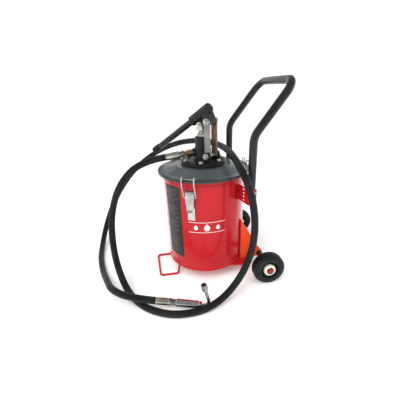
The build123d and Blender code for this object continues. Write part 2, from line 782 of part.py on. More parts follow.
def side_bracket(side):
    """Folded bracket: a slotted web from the drum wall, and a wing along the outside of one upright."""
    with BuildPart() as bracket:
        with BuildSketch(Plane((0, DRUM_Y, BRACKET_LOW_Z))):
            with BuildLine():
                Polyline(
                    (side * BRACKET_ROOT[0], BRACKET_ROOT[1]),
                    (side * BRACKET_WING_X, BRACKET_FOLD_Y),
                    (side * BRACKET_WING_X, HANDLE_BACK + HANDLE_TUBE_R),
                )
            trace(line_width=BRACKET_T)
        extrude(amount=BRACKET_TOP_Z - BRACKET_LOW_Z)
        with BuildSketch(Plane.XZ.offset(-DRUM_Y - BRACKET_FOLD_Y - 4)):
            for row in range(4):
                with Locations((side * BRACKET_SLOT_X, BRACKET_LOW_Z + 8 + 12 * row)):
                    SlotOverall(12, 5)
        extrude(amount=20, mode=Mode.SUBTRACT)
        with BuildSketch(Plane.YZ):
            for bolt_z in BRACKET_BOLT_Z:
                with Locations((HANDLE_Y, bolt_z)):
                    Circle(4)
        extrude(amount=side * 200, mode=Mode.SUBTRACT)
    return bracket


bracket_right = side_bracket(1)
save(bracket_right, "bracket_right")
bracket_left = side_bracket(-1)
save(bracket_left, "bracket_left")

with BuildPart() as bracket_bolts:
    for side in (-1, 1):
        for bolt_z in BRACKET_BOLT_Z:
            wing = Plane((side * (BRACKET_WING_X + BRACKET_T / 2), HANDLE_Y, bolt_z), z_dir=(side, 0, 0))
            with BuildSketch(wing):
                RegularPolygon(6.5, 6, major_radius=False)
            extrude(amount=5.3)
            with BuildSketch(wing):
                Circle(4)
            extrude(amount=-BRACKET_T)
save(bracket_bolts, "bracket_bolts")

# The drum stands on a base plate that widens to the rear, where two gussets on it carry the axle.
PLATE_T = 4.0
GUSSET_X = 84.0
GUSSET_T = 4.0
GUSSET_ROOT_Y = 112.1
with BuildPart() as base_plate:
    with BuildSketch(level(DRUM_BOTTOM - PLATE_T)) as plate_outline:
        with BuildLine():
            Polyline(
                (-95, -86), (95, -86), (126, 112), (104, 140), (-104, 140), (-126, 112), close=True
            )
        make_face()
        fillet(plate_outline.vertices(), 8)
    extrude(amount=PLATE_T)
save(base_plate, "base_plate")


def gusset(side):
    """Side plate from the drum wall down to the axle."""
    inner_x = GUSSET_X if side > 0 else -GUSSET_X - GUSSET_T
    with BuildPart() as plate:
        with BuildSketch(Plane.YZ.offset(inner_x)):
            with BuildLine():
                Polyline(
                    (DRUM_Y + GUSSET_ROOT_Y, DRUM_BOTTOM),
                    (DRUM_Y + GUSSET_ROOT_Y, 204),
                    (DRUM_Y + 176, 89),
                    (DRUM_Y + 196, 64),
                    (DRUM_Y + 202, DRUM_BOTTOM),
                    close=True,
                )
            make_face()
            with Locations((AXLE_Y, WHEEL_R)):
                Circle(AXLE_R, mode=Mode.SUBTRACT)
        extrude(amount=GUSSET_T)
    return plate


gusset_right = gusset(1)
save(gusset_right, "gusset_right")
gusset_left = gusset(-1)
save(gusset_left, "gusset_left")

FOOT_TOP_Z = DRUM_BOTTOM - PLATE_T - FOOT_WIRE_R
FOOT_Y = DRUM_Y - FOOT_REACH
FOOT_SKEW = 8.0
FOOT_ROUTE = [
    (FOOT_LEFT + 12, DRUM_Y - 40, FOOT_TOP_Z),
    (FOOT_LEFT + 8, DRUM_Y - 100, FOOT_TOP_Z),
    (FOOT_LEFT, DRUM_Y - 118, FOOT_WIRE_R),
    (FOOT_LEFT, FOOT_Y, FOOT_WIRE_R),
    (FOOT_RIGHT, FOOT_Y + FOOT_SKEW, FOOT_WIRE_R),
    (FOOT_RIGHT, DRUM_Y - 118, FOOT_WIRE_R),
    (FOOT_RIGHT - 18, DRUM_Y - 110, FOOT_TOP_Z),
    (FOOT_RIGHT - 26, DRUM_Y - 40, FOOT_TOP_Z),
]
with BuildPart() as foot:
    with BuildLine():
        foot_line = FilletPolyline(*FOOT_ROUTE, radius=10)
    with BuildSketch(Plane(FOOT_ROUTE[0], z_dir=foot_line % 0)):
        Circle(FOOT_WIRE_R)
    sweep(path=foot_line)
save(foot, "foot")

# ---------------------------------------------------------------- axle and wheels
HUB_INNER_X = WHEEL_X - WHEEL_WIDTH / 2 - 2
HUB_OUTER_X = WHEEL_X + WHEEL_WIDTH / 2 + 2
AXLE_HALF = HUB_OUTER_X + 2


def along_x(x):
    """Plane square to the axle, centred on it."""
    return Plane((x, AXLE_Y, WHEEL_R), x_dir=(0, 1, 0), z_dir=(1, 0, 0))


with BuildPart() as axle:
    with BuildSketch(along_x(-AXLE_HALF)):
        Circle(AXLE_R)
    extrude(amount=2 * AXLE_HALF)
save(axle, "axle")

with BuildPart() as axle_sleeves:
    for start in (GUSSET_X + GUSSET_T, -HUB_INNER_X + 0.3):
        with BuildSketch(along_x(start)):
            Circle(AXLE_R + 4)
            Circle(AXLE_R, mode=Mode.SUBTRACT)
        extrude(amount=HUB_INNER_X - GUSSET_X - GUSSET_T - 0.3)
save(axle_sleeves, "axle_sleeves")

with BuildPart() as axle_caps:
    for start in (HUB_OUTER_X + 0.3, -HUB_OUTER_X - 5.3):
        with BuildSketch(along_x(start)):
            Circle(AXLE_R + 3)
        extrude(amount=5)
    with BuildSketch(along_x(-AXLE_HALF)):
        Circle(AXLE_R)
    extrude(amount=2 * AXLE_HALF, mode=Mode.SUBTRACT)
save(axle_caps, "axle_caps")

HUB_R = 20.5
DISC_R = 31.0
TREAD_GROOVE = 2.0


def wheel_section():
    """Vertical plane through the axle: local x runs along the axle, local y is the wheel's radius."""
    return Plane((0, AXLE_Y, WHEEL_R), x_dir=(1, 0, 0), z_dir=(0, -1, 0))


def tyre(side):
    """Solid rubber tyre with round shoulders and grooves round its tread."""
    with BuildPart() as ring:
        with BuildSketch(wheel_section()):
            with Locations((side * WHEEL_X, (WHEEL_R + DISC_R) / 2)):
                RectangleRounded(WHEEL_WIDTH, WHEEL_R - DISC_R, 7)
            for step in (-9, 0, 9):
                with Locations((side * WHEEL_X + step, WHEEL_R)):
                    Rectangle(2.4, 2 * TREAD_GROOVE, mode=Mode.SUBTRACT)
        revolve(axis=AXLE)
    return ring


def wheel_disc(side):
    """Moulded disc between tyre and hub, dished on both faces."""
    with BuildPart() as disc:
        with BuildSketch(wheel_section()):
            with Locations((side * WHEEL_X, (DISC_R + HUB_R) / 2)):
                Rectangle(WHEEL_WIDTH - 16, DISC_R - HUB_R)
            with Locations((side * WHEEL_X, DISC_R - 2)):
                Rectangle(WHEEL_WIDTH - 14, 4)
        revolve(axis=AXLE)
    return disc


def wheel_hub(side):
    """Hub that turns on the axle."""
    low_x = HUB_INNER_X if side > 0 else -HUB_OUTER_X
    with BuildPart() as hub:
        with BuildSketch(along_x(low_x)):
            Circle(HUB_R)
        extrude(amount=HUB_OUTER_X - HUB_INNER_X)
        chamfer(hub.edges().filter_by(GeomType.CIRCLE), 1.5)
        with BuildSketch(along_x(low_x)):
            Circle(AXLE_R + RUNNING_FIT)
        extrude(amount=HUB_OUTER_X - HUB_INNER_X, mode=Mode.SUBTRACT)
    return hub


for side, hand in ((1, "right"), (-1, "left")):
    save(tyre(side), f"tyre_{hand}")
    save(wheel_disc(side), f"wheel_disc_{hand}")
    save(wheel_hub(side), f"wheel_hub_{hand}")

# ---------------------------------------------------------------- latches
LATCH_HALF = 14.0
CHEEK_T = 2.0
EAR_HALF = 11.5
LEVER_LOW_Z = 274.0
LEVER_WEB_R = 150.5
BASE_R = DRUM_R + 0.2
BASE_T = 2.4
BASE_HALF = 12.0
BASE_LOW_Z = 240.0
BASE_TOP_Z = 342.0
RIVET_Z = (248.0, 262.0)


def latch_base(azimuth):
    """Add one riveted base plate, its two ears and its hinge pin to the open part."""
    with BuildSketch(section(azimuth).offset(-BASE_HALF)) as plate:
        with Locations((BASE_R + BASE_T / 2, (BASE_LOW_Z + BASE_TOP_Z) / 2)):
            Rectangle(BASE_T, BASE_TOP_Z - BASE_LOW_Z)
    extrude(plate.sketch, amount=2 * BASE_HALF)
    for offset_in in (-EAR_HALF, EAR_HALF - 3):
        with BuildSketch(section(azimuth).offset(offset_in)) as ear:
            with Locations((LATCH_PIN_RADIUS, LATCH_PIN_Z)):
                Circle(4.2)
            with Locations(((BASE_R + LATCH_PIN_RADIUS) / 2 + 0.5, LATCH_PIN_Z)):
                Rectangle(LATCH_PIN_RADIUS - BASE_R - 1, 8.4)
        extrude(ear.sketch, amount=3)
    with BuildSketch(section(azimuth).offset(-LATCH_HALF - 1)) as pin:
        with Locations((LATCH_PIN_RADIUS, LATCH_PIN_Z)):
            Circle(LATCH_PIN_R)
    extrude(pin.sketch, amount=2 * LATCH_HALF + 2)


with BuildPart() as latch_bases:
    for azimuth in LATCH_AZIMUTHS.values():
        latch_base(azimuth)
save(latch_bases, "latch_bases")

with BuildPart() as latch_rivets:
    for azimuth in LATCH_AZIMUTHS.values():
        for rivet_z in RIVET_Z:
            with BuildSketch(outward(azimuth, BASE_R + BASE_T, rivet_z)):
                with Locations((-6, 0), (6, 0)):
                    Circle(2.5)
            extrude(amount=1.2)
save(latch_rivets, "latch_rivets")


def latch_lever(azimuth):
    """Channel-shaped handle: a web with a turned-up tip, and two cheeks round the hinge pin."""
    with BuildPart() as lever:
        with BuildSketch(section(azimuth).offset(-LATCH_HALF)):
            with BuildLine():
                Polyline(
                    (LEVER_WEB_R, LATCH_PIN_Z - 4),
                    (LEVER_WEB_R, LEVER_LOW_Z + 10),
                    (LEVER_WEB_R + 4, LEVER_LOW_Z),
                    (LEVER_WEB_R + 6, LEVER_LOW_Z),
                    (LEVER_WEB_R + 2, LEVER_LOW_Z + 11),
                    (LEVER_WEB_R + 2, LATCH_PIN_Z - 4),
                    close=True,
                )
            make_face()
        extrude(amount=2 * LATCH_HALF)
        for offset_in in (-LATCH_HALF, LATCH_HALF - CHEEK_T):
            with BuildSketch(section(azimuth).offset(offset_in)):
                with Locations((LATCH_PIN_RADIUS, LATCH_PIN_Z)):
                    Circle(5.4)
                with BuildLine():
                    Polyline(
                        (LATCH_PIN_RADIUS - 5, LATCH_PIN_Z),
                        (LATCH_PIN_RADIUS - 4, BAIL_PIVOT_Z - 6),
                        (LEVER_WEB_R + 1, BAIL_PIVOT_Z - 26),
                        (LEVER_WEB_R + 2, LATCH_PIN_Z - 4),
                        (LATCH_PIN_RADIUS + 5, LATCH_PIN_Z),
                        close=True,
                    )
                make_face()
                with Locations((LATCH_PIN_RADIUS, LATCH_PIN_Z)):
                    Circle(LATCH_PIN_R + RUNNING_FIT, mode=Mode.SUBTRACT)
                with Locations((LATCH_PIN_RADIUS, BAIL_PIVOT_Z)):
                    Circle(BAIL_WIRE_R + RUNNING_FIT, mode=Mode.SUBTRACT)
            extrude(amount=CHEEK_T)
    return lever


def latch_bail(azimuth):
    """Wire loop from the lever's cheeks, up past the rim of the lid and down onto it."""
    plane = section(azimuth)
    over_rim = LID_R + 4.2
    inside_rim = LID_R - 6.0
    crossbar_z = LID_RIM_Z + LID_SHEET + BAIL_WIRE_R + 0.4
    side_points = [
        (LATCH_PIN_RADIUS, BAIL_PIVOT_Z, LATCH_HALF - CHEEK_T),
        (LATCH_PIN_RADIUS, BAIL_PIVOT_Z, BAIL_HALF),
        (over_rim, LID_RIM_Z - 14, BAIL_HALF),
        (over_rim, BAIL_TOP_Z, BAIL_HALF),
        (inside_rim, BAIL_TOP_Z, BAIL_HALF),
        (inside_rim, crossbar_z, BAIL_HALF),
    ]
    mirrored = [(radius, z, -across) for radius, z, across in reversed(side_points)]
    route = [plane.from_local_coords(point) for point in side_points + mirrored]
    with BuildPart() as bail:
        with BuildLine():
            wire = FilletPolyline(*route, radius=BAIL_BEND_R)
        with BuildSketch(Plane(route[0], z_dir=wire % 0)):
            Circle(BAIL_WIRE_R)
        sweep(path=wire)
    return bail


for letter, azimuth in LATCH_AZIMUTHS.items():
    save(latch_lever(azimuth), f"latch_lever_{letter}")
    save(latch_bail(azimuth), f"latch_bail_{letter}")
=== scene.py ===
"""The looks of a hand-lever gear oil pump: a latched drum on a two-wheeled trolley, with its hose.

Metres, in the frame of the CAD model: +Z up, +Y towards the wheels, X along the wheel axle.
"""

import json
from math import cos, pi, radians, sin, tan

import bmesh
import bpy
from mathutils import Matrix, Vector


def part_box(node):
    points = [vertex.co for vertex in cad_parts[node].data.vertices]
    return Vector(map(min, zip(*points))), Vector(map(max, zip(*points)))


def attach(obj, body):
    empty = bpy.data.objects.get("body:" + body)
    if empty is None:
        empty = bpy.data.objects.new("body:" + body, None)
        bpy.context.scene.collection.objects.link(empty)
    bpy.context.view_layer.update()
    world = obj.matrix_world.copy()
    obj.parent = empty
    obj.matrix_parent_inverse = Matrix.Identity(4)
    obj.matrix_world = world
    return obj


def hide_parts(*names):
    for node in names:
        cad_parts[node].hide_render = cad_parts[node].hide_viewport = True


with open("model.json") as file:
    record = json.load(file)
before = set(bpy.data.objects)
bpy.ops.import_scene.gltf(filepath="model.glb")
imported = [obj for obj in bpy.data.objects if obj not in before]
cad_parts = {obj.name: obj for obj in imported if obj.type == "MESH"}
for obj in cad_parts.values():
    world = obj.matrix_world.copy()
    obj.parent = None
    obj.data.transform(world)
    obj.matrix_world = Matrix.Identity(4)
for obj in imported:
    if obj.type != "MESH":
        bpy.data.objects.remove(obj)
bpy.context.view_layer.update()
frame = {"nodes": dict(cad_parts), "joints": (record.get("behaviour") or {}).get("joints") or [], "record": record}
nodes = frame["nodes"]
scene = bpy.context.scene
MM = 0.001

# ---- places taken from the frame
DRUM_Y = (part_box("lid")[0][1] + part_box("lid")[1][1]) / 2
DRUM_AXIS = Vector((0, DRUM_Y, 0))
DRUM_R = 138.5 * MM
LEVER_AZIMUTH = 225.0
joints = {joint["name"]: joint for joint in frame["joints"]}
AXLE_Y, WHEEL_R = joints["wheel_right_spin"]["pos_m"][1:]


def turned_frame(origin, axis, towards=(0, 0, 1)):
    """Matrix whose local Z is the axis, with local X as near as can be to the given direction."""
    z = Vector(axis).normalized()
    x = Vector(towards) - z * Vector(towards).dot(z)
    if x.length < 1e-6:
        x = Vector((1, 0, 0)) - z * z.x
    x.normalize()
    y = z.cross(x)
    rotation = Matrix((x, y, z)).transposed().to_4x4()
    return Matrix.Translation(origin) @ rotation


def radial(azimuth):
    """Direction away from the drum axis."""
    return Vector((cos(radians(azimuth)), sin(radians(azimuth)), 0))


def drum_point(azimuth, radius, z):
    """Point by its azimuth round the drum axis, its distance from it and its height."""
    return DRUM_AXIS + radial(azimuth) * radius + Vector((0, 0, z))


LEVER_OUT = radial(LEVER_AZIMUTH)
ACROSS = radial(LEVER_AZIMUTH - 90)


# ---- node graphs
class Graph:
    """A node tree with its texture coordinates, and short ways to add and link nodes."""

    def __init__(self, tree):
        self.tree = tree
        self.coordinates = self.add("ShaderNodeTexCoord")

    def add(self, kind, **values):
        """New node, with properties or input values by name."""
        node = self.tree.nodes.new(kind)
        for name, value in values.items():
            label = name.replace("_", " ").title()
            if label in node.inputs:
                node.inputs[label].default_value = value
            else:
                setattr(node, name, value)
        return node

    def join(self, source, target):
        """Link one socket to another."""
        self.tree.links.new(source, target)

    def span(self, value, low, high, from_low=0.3, from_high=0.7, **values):
        """Map a value onto a range, clamped."""
        node = self.add("ShaderNodeMapRange", from_min=from_low, from_max=from_high, to_min=low,
                        to_max=high, **values)
        self.join(value, node.inputs["Value"])
        return node.outputs["Result"]

    def math(self, operation, first, second=0.0):
        """One math node on sockets or numbers."""
        node = self.add("ShaderNodeMath", operation=operation)
        for socket, value in zip(node.inputs, (first, second)):
            if isinstance(value, bpy.types.NodeSocket):
                self.join(value, socket)
            else:
                socket.default_value = value
        return node.outputs["Value"]

    def axis_part(self, name, source="Object"):
        """One of X, Y or Z of some coordinates."""
        node = self.add("ShaderNodeSeparateXYZ")
        self.join(self.coordinates.outputs[source], node.inputs["Vector"])
        return node.outputs[name]


# ---- camera, light and floor
def stand(name, data, matrix):
    """New object in the scene, at a place."""
    thing = bpy.data.objects.new(name, data)
    scene.collection.objects.link(thing)
    thing.matrix_world = matrix
    return thing


CAMERA_PLACE = (0.8658, -0.1679, 0.6291)
CAMERA_RIGHT = Vector((0.16303644, 0.98605223, -0.03346811))
CAMERA_UP = Vector((-0.40367381, 0.0976204, 0.90968001))
CAMERA_LENS = 23.67
CAMERA_SHIFT = (-0.0053, 0.0131)


def add_camera():
    """Wide lens, a little above the lid, looking across the drum with the wheels on the right."""
    data = bpy.data.cameras.new("camera")
    data.lens = CAMERA_LENS
    data.sensor_width = 36.0
    data.shift_x, data.shift_y = CAMERA_SHIFT
    data.clip_start = 0.01
    back = CAMERA_RIGHT.cross(CAMERA_UP)
    facing = Matrix((CAMERA_RIGHT, CAMERA_UP, back)).transposed().to_4x4()
    scene.camera = stand("camera", data, Matrix.Translation(CAMERA_PLACE) @ facing)


def add_light(name, place, target, size, power, tint=(1, 1, 1)):
    """Rectangular soft light aimed at a point."""
    data = bpy.data.lights.new(name, "AREA")
    data.shape = "RECTANGLE"
    data.size, data.size_y = size
    data.energy = power
    data.color = tint
    aim = Vector(place) - Vector(target)
    stand(name, data, turned_frame(place, aim, (0, 1, 0))).visible_glossy = False


def add_sun(power, spread):
    """Very soft light from above that reaches the far floor as evenly as the near one."""
    data = bpy.data.lights.new("sun", "SUN")
    data.energy = power
    data.angle = radians(spread)
    stand("sun", data, turned_frame((0, 0, 3), (0.25, -0.2, 1), (0, 1, 0))).visible_glossy = False


def add_sky():
    """White surroundings whose zenith and front side are darker, for contrast in glossy surfaces."""
    world = bpy.data.worlds.new("studio")
    world.use_nodes = True
    graph = Graph(world.node_tree)
    soft = {"interpolation_type": "SMOOTHSTEP"}
    zenith = graph.span(graph.axis_part("Z", "Generated"), 1.0, 0.30, 0.30, 0.75, **soft)
    front = graph.span(graph.axis_part("X", "Generated"), 1.0, 0.42, 0.35, 0.90, **soft)
    strength = graph.math("MULTIPLY", graph.math("MULTIPLY", zenith, front), SKY_STRENGTH)
    background = graph.tree.nodes["Background"]
    graph.join(strength, background.inputs["Strength"])
    background.inputs["Color"].default_value = (1.0, 1.0, 1.0, 1)
    scene.world = world


SKY_STRENGTH = 1.15
FLOOR_EDGE = 30.0


def add_studio():
    """Bright surroundings, two soft lights, a soft sun and a pale floor."""
    scene.view_settings.view_transform = "Standard"
    scene.view_settings.look = "None"
    add_sky()
    middle = (0, -0.03, 0.25)
    add_light("key", (1.5, -1.1, 2.0), middle, (1.2, 1.2), 26)
    add_light("fill", (1.7, 1.5, 1.1), middle, (1.0, 1.6), 12)
    add_sun(1.5, 60)
    mesh = bpy.data.meshes.new("floor")
    corners = [(-FLOOR_EDGE, -FLOOR_EDGE, 0), (FLOOR_EDGE, -FLOOR_EDGE, 0),
               (FLOOR_EDGE, FLOOR_EDGE, 0), (-FLOOR_EDGE, FLOOR_EDGE, 0)]
    mesh.from_pydata(corners, [], [(0, 1, 2, 3)])
    floor = bpy.data.objects.new("floor", mesh)
    floor.location.z = -0.3 * MM
    scene.collection.objects.link(floor)
    look = Look("floor_paper")
    tone = look.tone(3, 3, (0.93, 0.93, 0.93), (0.95, 0.95, 0.95))
    look.set("Base Color", tone)
    look.set("Roughness", 0.9)
    look.set("Specular IOR Level", 0.1)
    look.set("Emission Color", (1.0, 1.0, 1.0))
    look.set("Emission Strength", 0.12)
    mesh.materials.append(look.material)


# ---- materials
class Look(Graph):
    """A node material that is built up from noise, ramps and bumps in object space."""

    def __init__(self, name):
        self.material = bpy.data.materials.new(name)
        self.material.use_nodes = True
        super().__init__(self.material.node_tree)
        self.shader = self.tree.nodes["Principled BSDF"]
        self.normal = None

    def set(self, name, value):
        """Give a shader input a number, a colour or another node's output."""
        socket = self.shader.inputs[name]
        if isinstance(value, bpy.types.NodeSocket):
            self.join(value, socket)
        elif isinstance(value, (tuple, list)):
            socket.default_value = (*value, 1) if len(value) == 3 else value
        else:
            socket.default_value = value

    def place(self, stretch=(1, 1, 1), turn=(0, 0, 0), source="Object"):
        """Object coordinates, stretched and turned."""
        mapping = self.add("ShaderNodeMapping")
        mapping.inputs["Scale"].default_value = stretch
        mapping.inputs["Rotation"].default_value = turn
        self.join(self.coordinates.outputs[source], mapping.inputs["Vector"])
        return mapping.outputs["Vector"]

    def noise(self, scale, detail=4.0, vector=None, roughness=0.5):
        """Noise value from 0 to 1."""
        node = self.add("ShaderNodeTexNoise", scale=scale, detail=detail, roughness=roughness)
        self.join(vector or self.place(), node.inputs["Vector"])
        return node.outputs["Fac"]

    def cells(self, scale):
        """Distance to the nearest of scattered points."""
        node = self.add("ShaderNodeTexVoronoi", feature="F1", scale=scale)
        self.join(self.place(), node.inputs["Vector"])
        return node.outputs["Distance"]

    def ramp(self, value, stops):
        """Colour ramp through (place, colour) stops."""
        node = self.add("ShaderNodeValToRGB")
        elements = node.color_ramp.elements
        while len(elements) < len(stops):
            elements.new(0.5)
        for element, (place, colour) in zip(elements, stops):
            element.position = place
            element.color = (*colour, 1) if len(colour) == 3 else colour
        self.join(value, node.inputs["Fac"])
        return node.outputs["Color"]

    def tone(self, scale, detail, dark, light, low=0.3, high=0.7):
        """Cloudy blend of a dark and a light colour."""
        return self.ramp(self.noise(scale, detail), [(low, dark), (high, light)])

    def mix(self, factor, first, second):
        """Blend two colours, given as sockets or as tuples."""
        node = self.add("ShaderNodeMix", data_type="RGBA")
        self.join(factor, node.inputs["Factor"])
        for name, colour in (("A", first), ("B", second)):
            socket = next(s for s in node.inputs if s.name == name and s.type == "RGBA")
            if isinstance(colour, bpy.types.NodeSocket):
                self.join(colour, socket)
            else:
                socket.default_value = (*colour, 1)
        return next(s for s in node.outputs if s.type == "RGBA")

    def bump(self, height, distance, strength=1.0):
        """Add relief of a real depth in metres."""
        node = self.add("ShaderNodeBump")
        node.inputs["Strength"].default_value = strength
        node.inputs["Distance"].default_value = distance
        self.join(height, node.inputs["Height"])
        if self.normal is not None:
            self.join(self.normal, node.inputs["Normal"])
        self.normal = node.outputs["Normal"]
        self.join(self.normal, self.shader.inputs["Normal"])
        return self

    def finish(self, roughness, metallic=0.0, coat=0.0, coat_roughness=0.08, specular=0.5):
        """Set the shader's plain values and return the material."""
        self.set("Roughness", roughness)
        self.set("Metallic", metallic)
        self.set("Coat Weight", coat)
        self.set("Coat Roughness", coat_roughness)
        self.set("Specular IOR Level", specular)
        return self.material


def enamel(name, dark, light, gloss=(0.16, 0.30), coat=0.12, peel=0.00004, wear=0.10, specular=0.3,
           rim=False):
    """Sprayed enamel: faint orange peel, uneven gloss, dust specks and a few rubbed patches."""
    look = Look(name)
    tone = look.tone(7, 5, dark, light)
    dust = look.span(look.noise(900, 2), 0.0, wear, 0.66, 0.80)
    faded = look.span(look.noise(2.6, 4), 0.0, 0.5 * wear, 0.55, 0.80)
    pale = tuple(min(1.0, 0.8 * value + 0.10) for value in light)
    look.set("Base Color", look.mix(look.math("MAXIMUM", dust, faded), tone, pale))
    look.bump(look.noise(420, 2), peel)
    look.bump(look.noise(60, 2), peel * 2)
    look.finish(look.span(look.noise(24, 6), *gloss), coat=coat, specular=specular)
    if rim:
        look.set("Coat IOR", 2.3)
        look.set("Coat Roughness", 0.16)
        grazing = look.add("ShaderNodeLayerWeight")
        grazing.inputs["Blend"].default_value = 0.5
        look.set("Coat Weight", look.span(grazing.outputs["Facing"], 0.03, 1.0, 0.50, 0.78))
    return look.material


def rough_casting(name, dark, light):
    """Painted sand casting: coarse grain, pits painted darker as painted shade, and slightly shiny high spots."""
    look = Look(name)
    tone = look.tone(90, 6, dark, light, 0.30, 0.72)
    pits = look.span(look.cells(420), 0.0, 1.0, 0.05, 0.35)
    # painted shade: the colour goes to the dark tone inside the pits
    look.set("Base Color", look.mix(pits, dark, tone))
    look.bump(look.noise(260, 6), 0.00025)
    look.bump(pits, 0.00012)
    return look.finish(look.span(look.noise(130, 5), 0.32, 0.58), specular=0.32)


def plated(name, dark, light, gloss=(0.18, 0.36), grain=(1, 1, 14), metallic=1.0):
    """Zinc or chrome plate: cloudy tone, drawn grain and fine scratches."""
    look = Look(name)
    streaks = look.noise(160, 5, look.place(grain))
    tone = look.tone(38, 5, dark, light, 0.28, 0.74)
    scratch = look.span(look.noise(700, 2, look.place((1, 9, 1), (0.5, 0.3, 0.8))), 0, 0.35, 0.64, 0.74)
    look.set("Base Color", look.mix(scratch, tone, tuple(value * 0.55 for value in dark)))
    look.bump(streaks, 0.00003)
    look.bump(look.noise(1100, 2), 0.00001)
    return look.finish(look.span(streaks, *gloss), metallic=metallic)


def rubber(name, dark, light, grain=700, depth=0.00006, gloss=(0.42, 0.62)):
    """Black rubber or moulded plastic: fine grain, dusty bloom and uneven gloss."""
    look = Look(name)
    bloom = look.span(look.noise(16, 6), 0.0, 0.5, 0.45, 0.80)
    tone = look.tone(240, 4, dark, light)
    dusty = tuple(value * 1.9 + 0.006 for value in light)
    look.set("Base Color", look.mix(bloom, tone, dusty))
    look.bump(look.noise(grain, 4), depth)
    return look.finish(look.span(look.noise(50, 5), *gloss), specular=0.25)


def hose_rubber():
    """Cloth-wrapped hydraulic hose cover: fine wrap weave in UV, dusty bloom and scuffs."""
    look = Look("hose_rubber")
    across = look.place((1, 1, 1), source="UV")
    weave = look.add("ShaderNodeTexWave", wave_type="BANDS", bands_direction="DIAGONAL")
    weave.inputs["Scale"].default_value = 34
    weave.inputs["Distortion"].default_value = 0.6
    look.join(across, weave.inputs["Vector"])
    bloom = look.span(look.noise(20, 6), 0.0, 0.6, 0.42, 0.78)
    tone = look.tone(300, 4, (0.004, 0.005, 0.005), (0.009, 0.010, 0.011))
    look.set("Base Color", look.mix(bloom, tone, (0.018, 0.021, 0.024)))
    look.bump(weave.outputs["Fac"], 0.00010)
    look.bump(look.noise(800, 3), 0.00008)
    return look.finish(look.span(look.noise(60, 5), 0.36, 0.55), specular=0.22)


def lid_enamel():
    """Dark slate enamel on the pressed lid: soft sheen, pale blue-grey patches that are part thin dust film and
    part painted sheen, and a darker rim.
    """
    look = Look("lid_enamel")
    tone = look.tone(9, 5, (0.036, 0.044, 0.048), (0.062, 0.075, 0.080), 0.30, 0.72)
    # part dust, part painted sheen: the pale blue-grey patches lighten the lid's colour
    dust = look.span(look.noise(14, 7), 0.0, 0.35, 0.46, 0.80)
    dusty = look.mix(dust, tone, (0.085, 0.10, 0.105))
    across = look.axis_part("X")
    along = look.math("SUBTRACT", look.axis_part("Y"), DRUM_Y)
    squares = (look.math("MULTIPLY", across, across), look.math("MULTIPLY", along, along))
    radius = look.math("SQRT", look.math("ADD", *squares))
    rim = look.span(radius, 0.0, 1.0, 0.1475, 0.1495)
    look.set("Base Color", look.mix(rim, dusty, (0.010, 0.011, 0.012)))
    look.bump(look.noise(380, 3), 0.00006)
    look.bump(look.noise(30, 2), 0.00020)
    return look.finish(look.span(look.noise(18, 6), 0.26, 0.42), coat=0.15, coat_roughness=0.2, specular=0.6)


def panel_vinyl():
    """Black label film with a faint grain."""
    look = Look("panel_vinyl")
    tone = look.tone(60, 4, (0.008, 0.008, 0.009), (0.016, 0.016, 0.018))
    look.set("Base Color", tone)
    look.bump(look.noise(900, 2), 0.00002)
    return look.finish(look.span(look.noise(40, 5), 0.32, 0.48), specular=0.4)


def printed(name, dark, light):
    """Screen-printed ink, slightly uneven and worn through in specks."""
    look = Look(name)
    look.set("Base Color", look.tone(120, 6, dark, light, 0.32, 0.60))
    look.bump(look.noise(700, 2), 0.00001)
    return look.finish(look.span(look.noise(40, 4), 0.35, 0.5))


def brown_link_plate():
    """Brown plate with darker rust spots."""
    look = Look("link_bronzed")
    tone = look.tone(70, 6, (0.20, 0.10, 0.065), (0.42, 0.25, 0.18))
    rust = look.span(look.noise(240, 5), 0.0, 0.8, 0.52, 0.72)
    look.set("Base Color", look.mix(rust, tone, (0.10, 0.040, 0.022)))
    look.bump(look.noise(300, 5), 0.0001)
    return look.finish(look.span(look.noise(60, 5), 0.38, 0.6), metallic=0.35)


LOOKS = {}


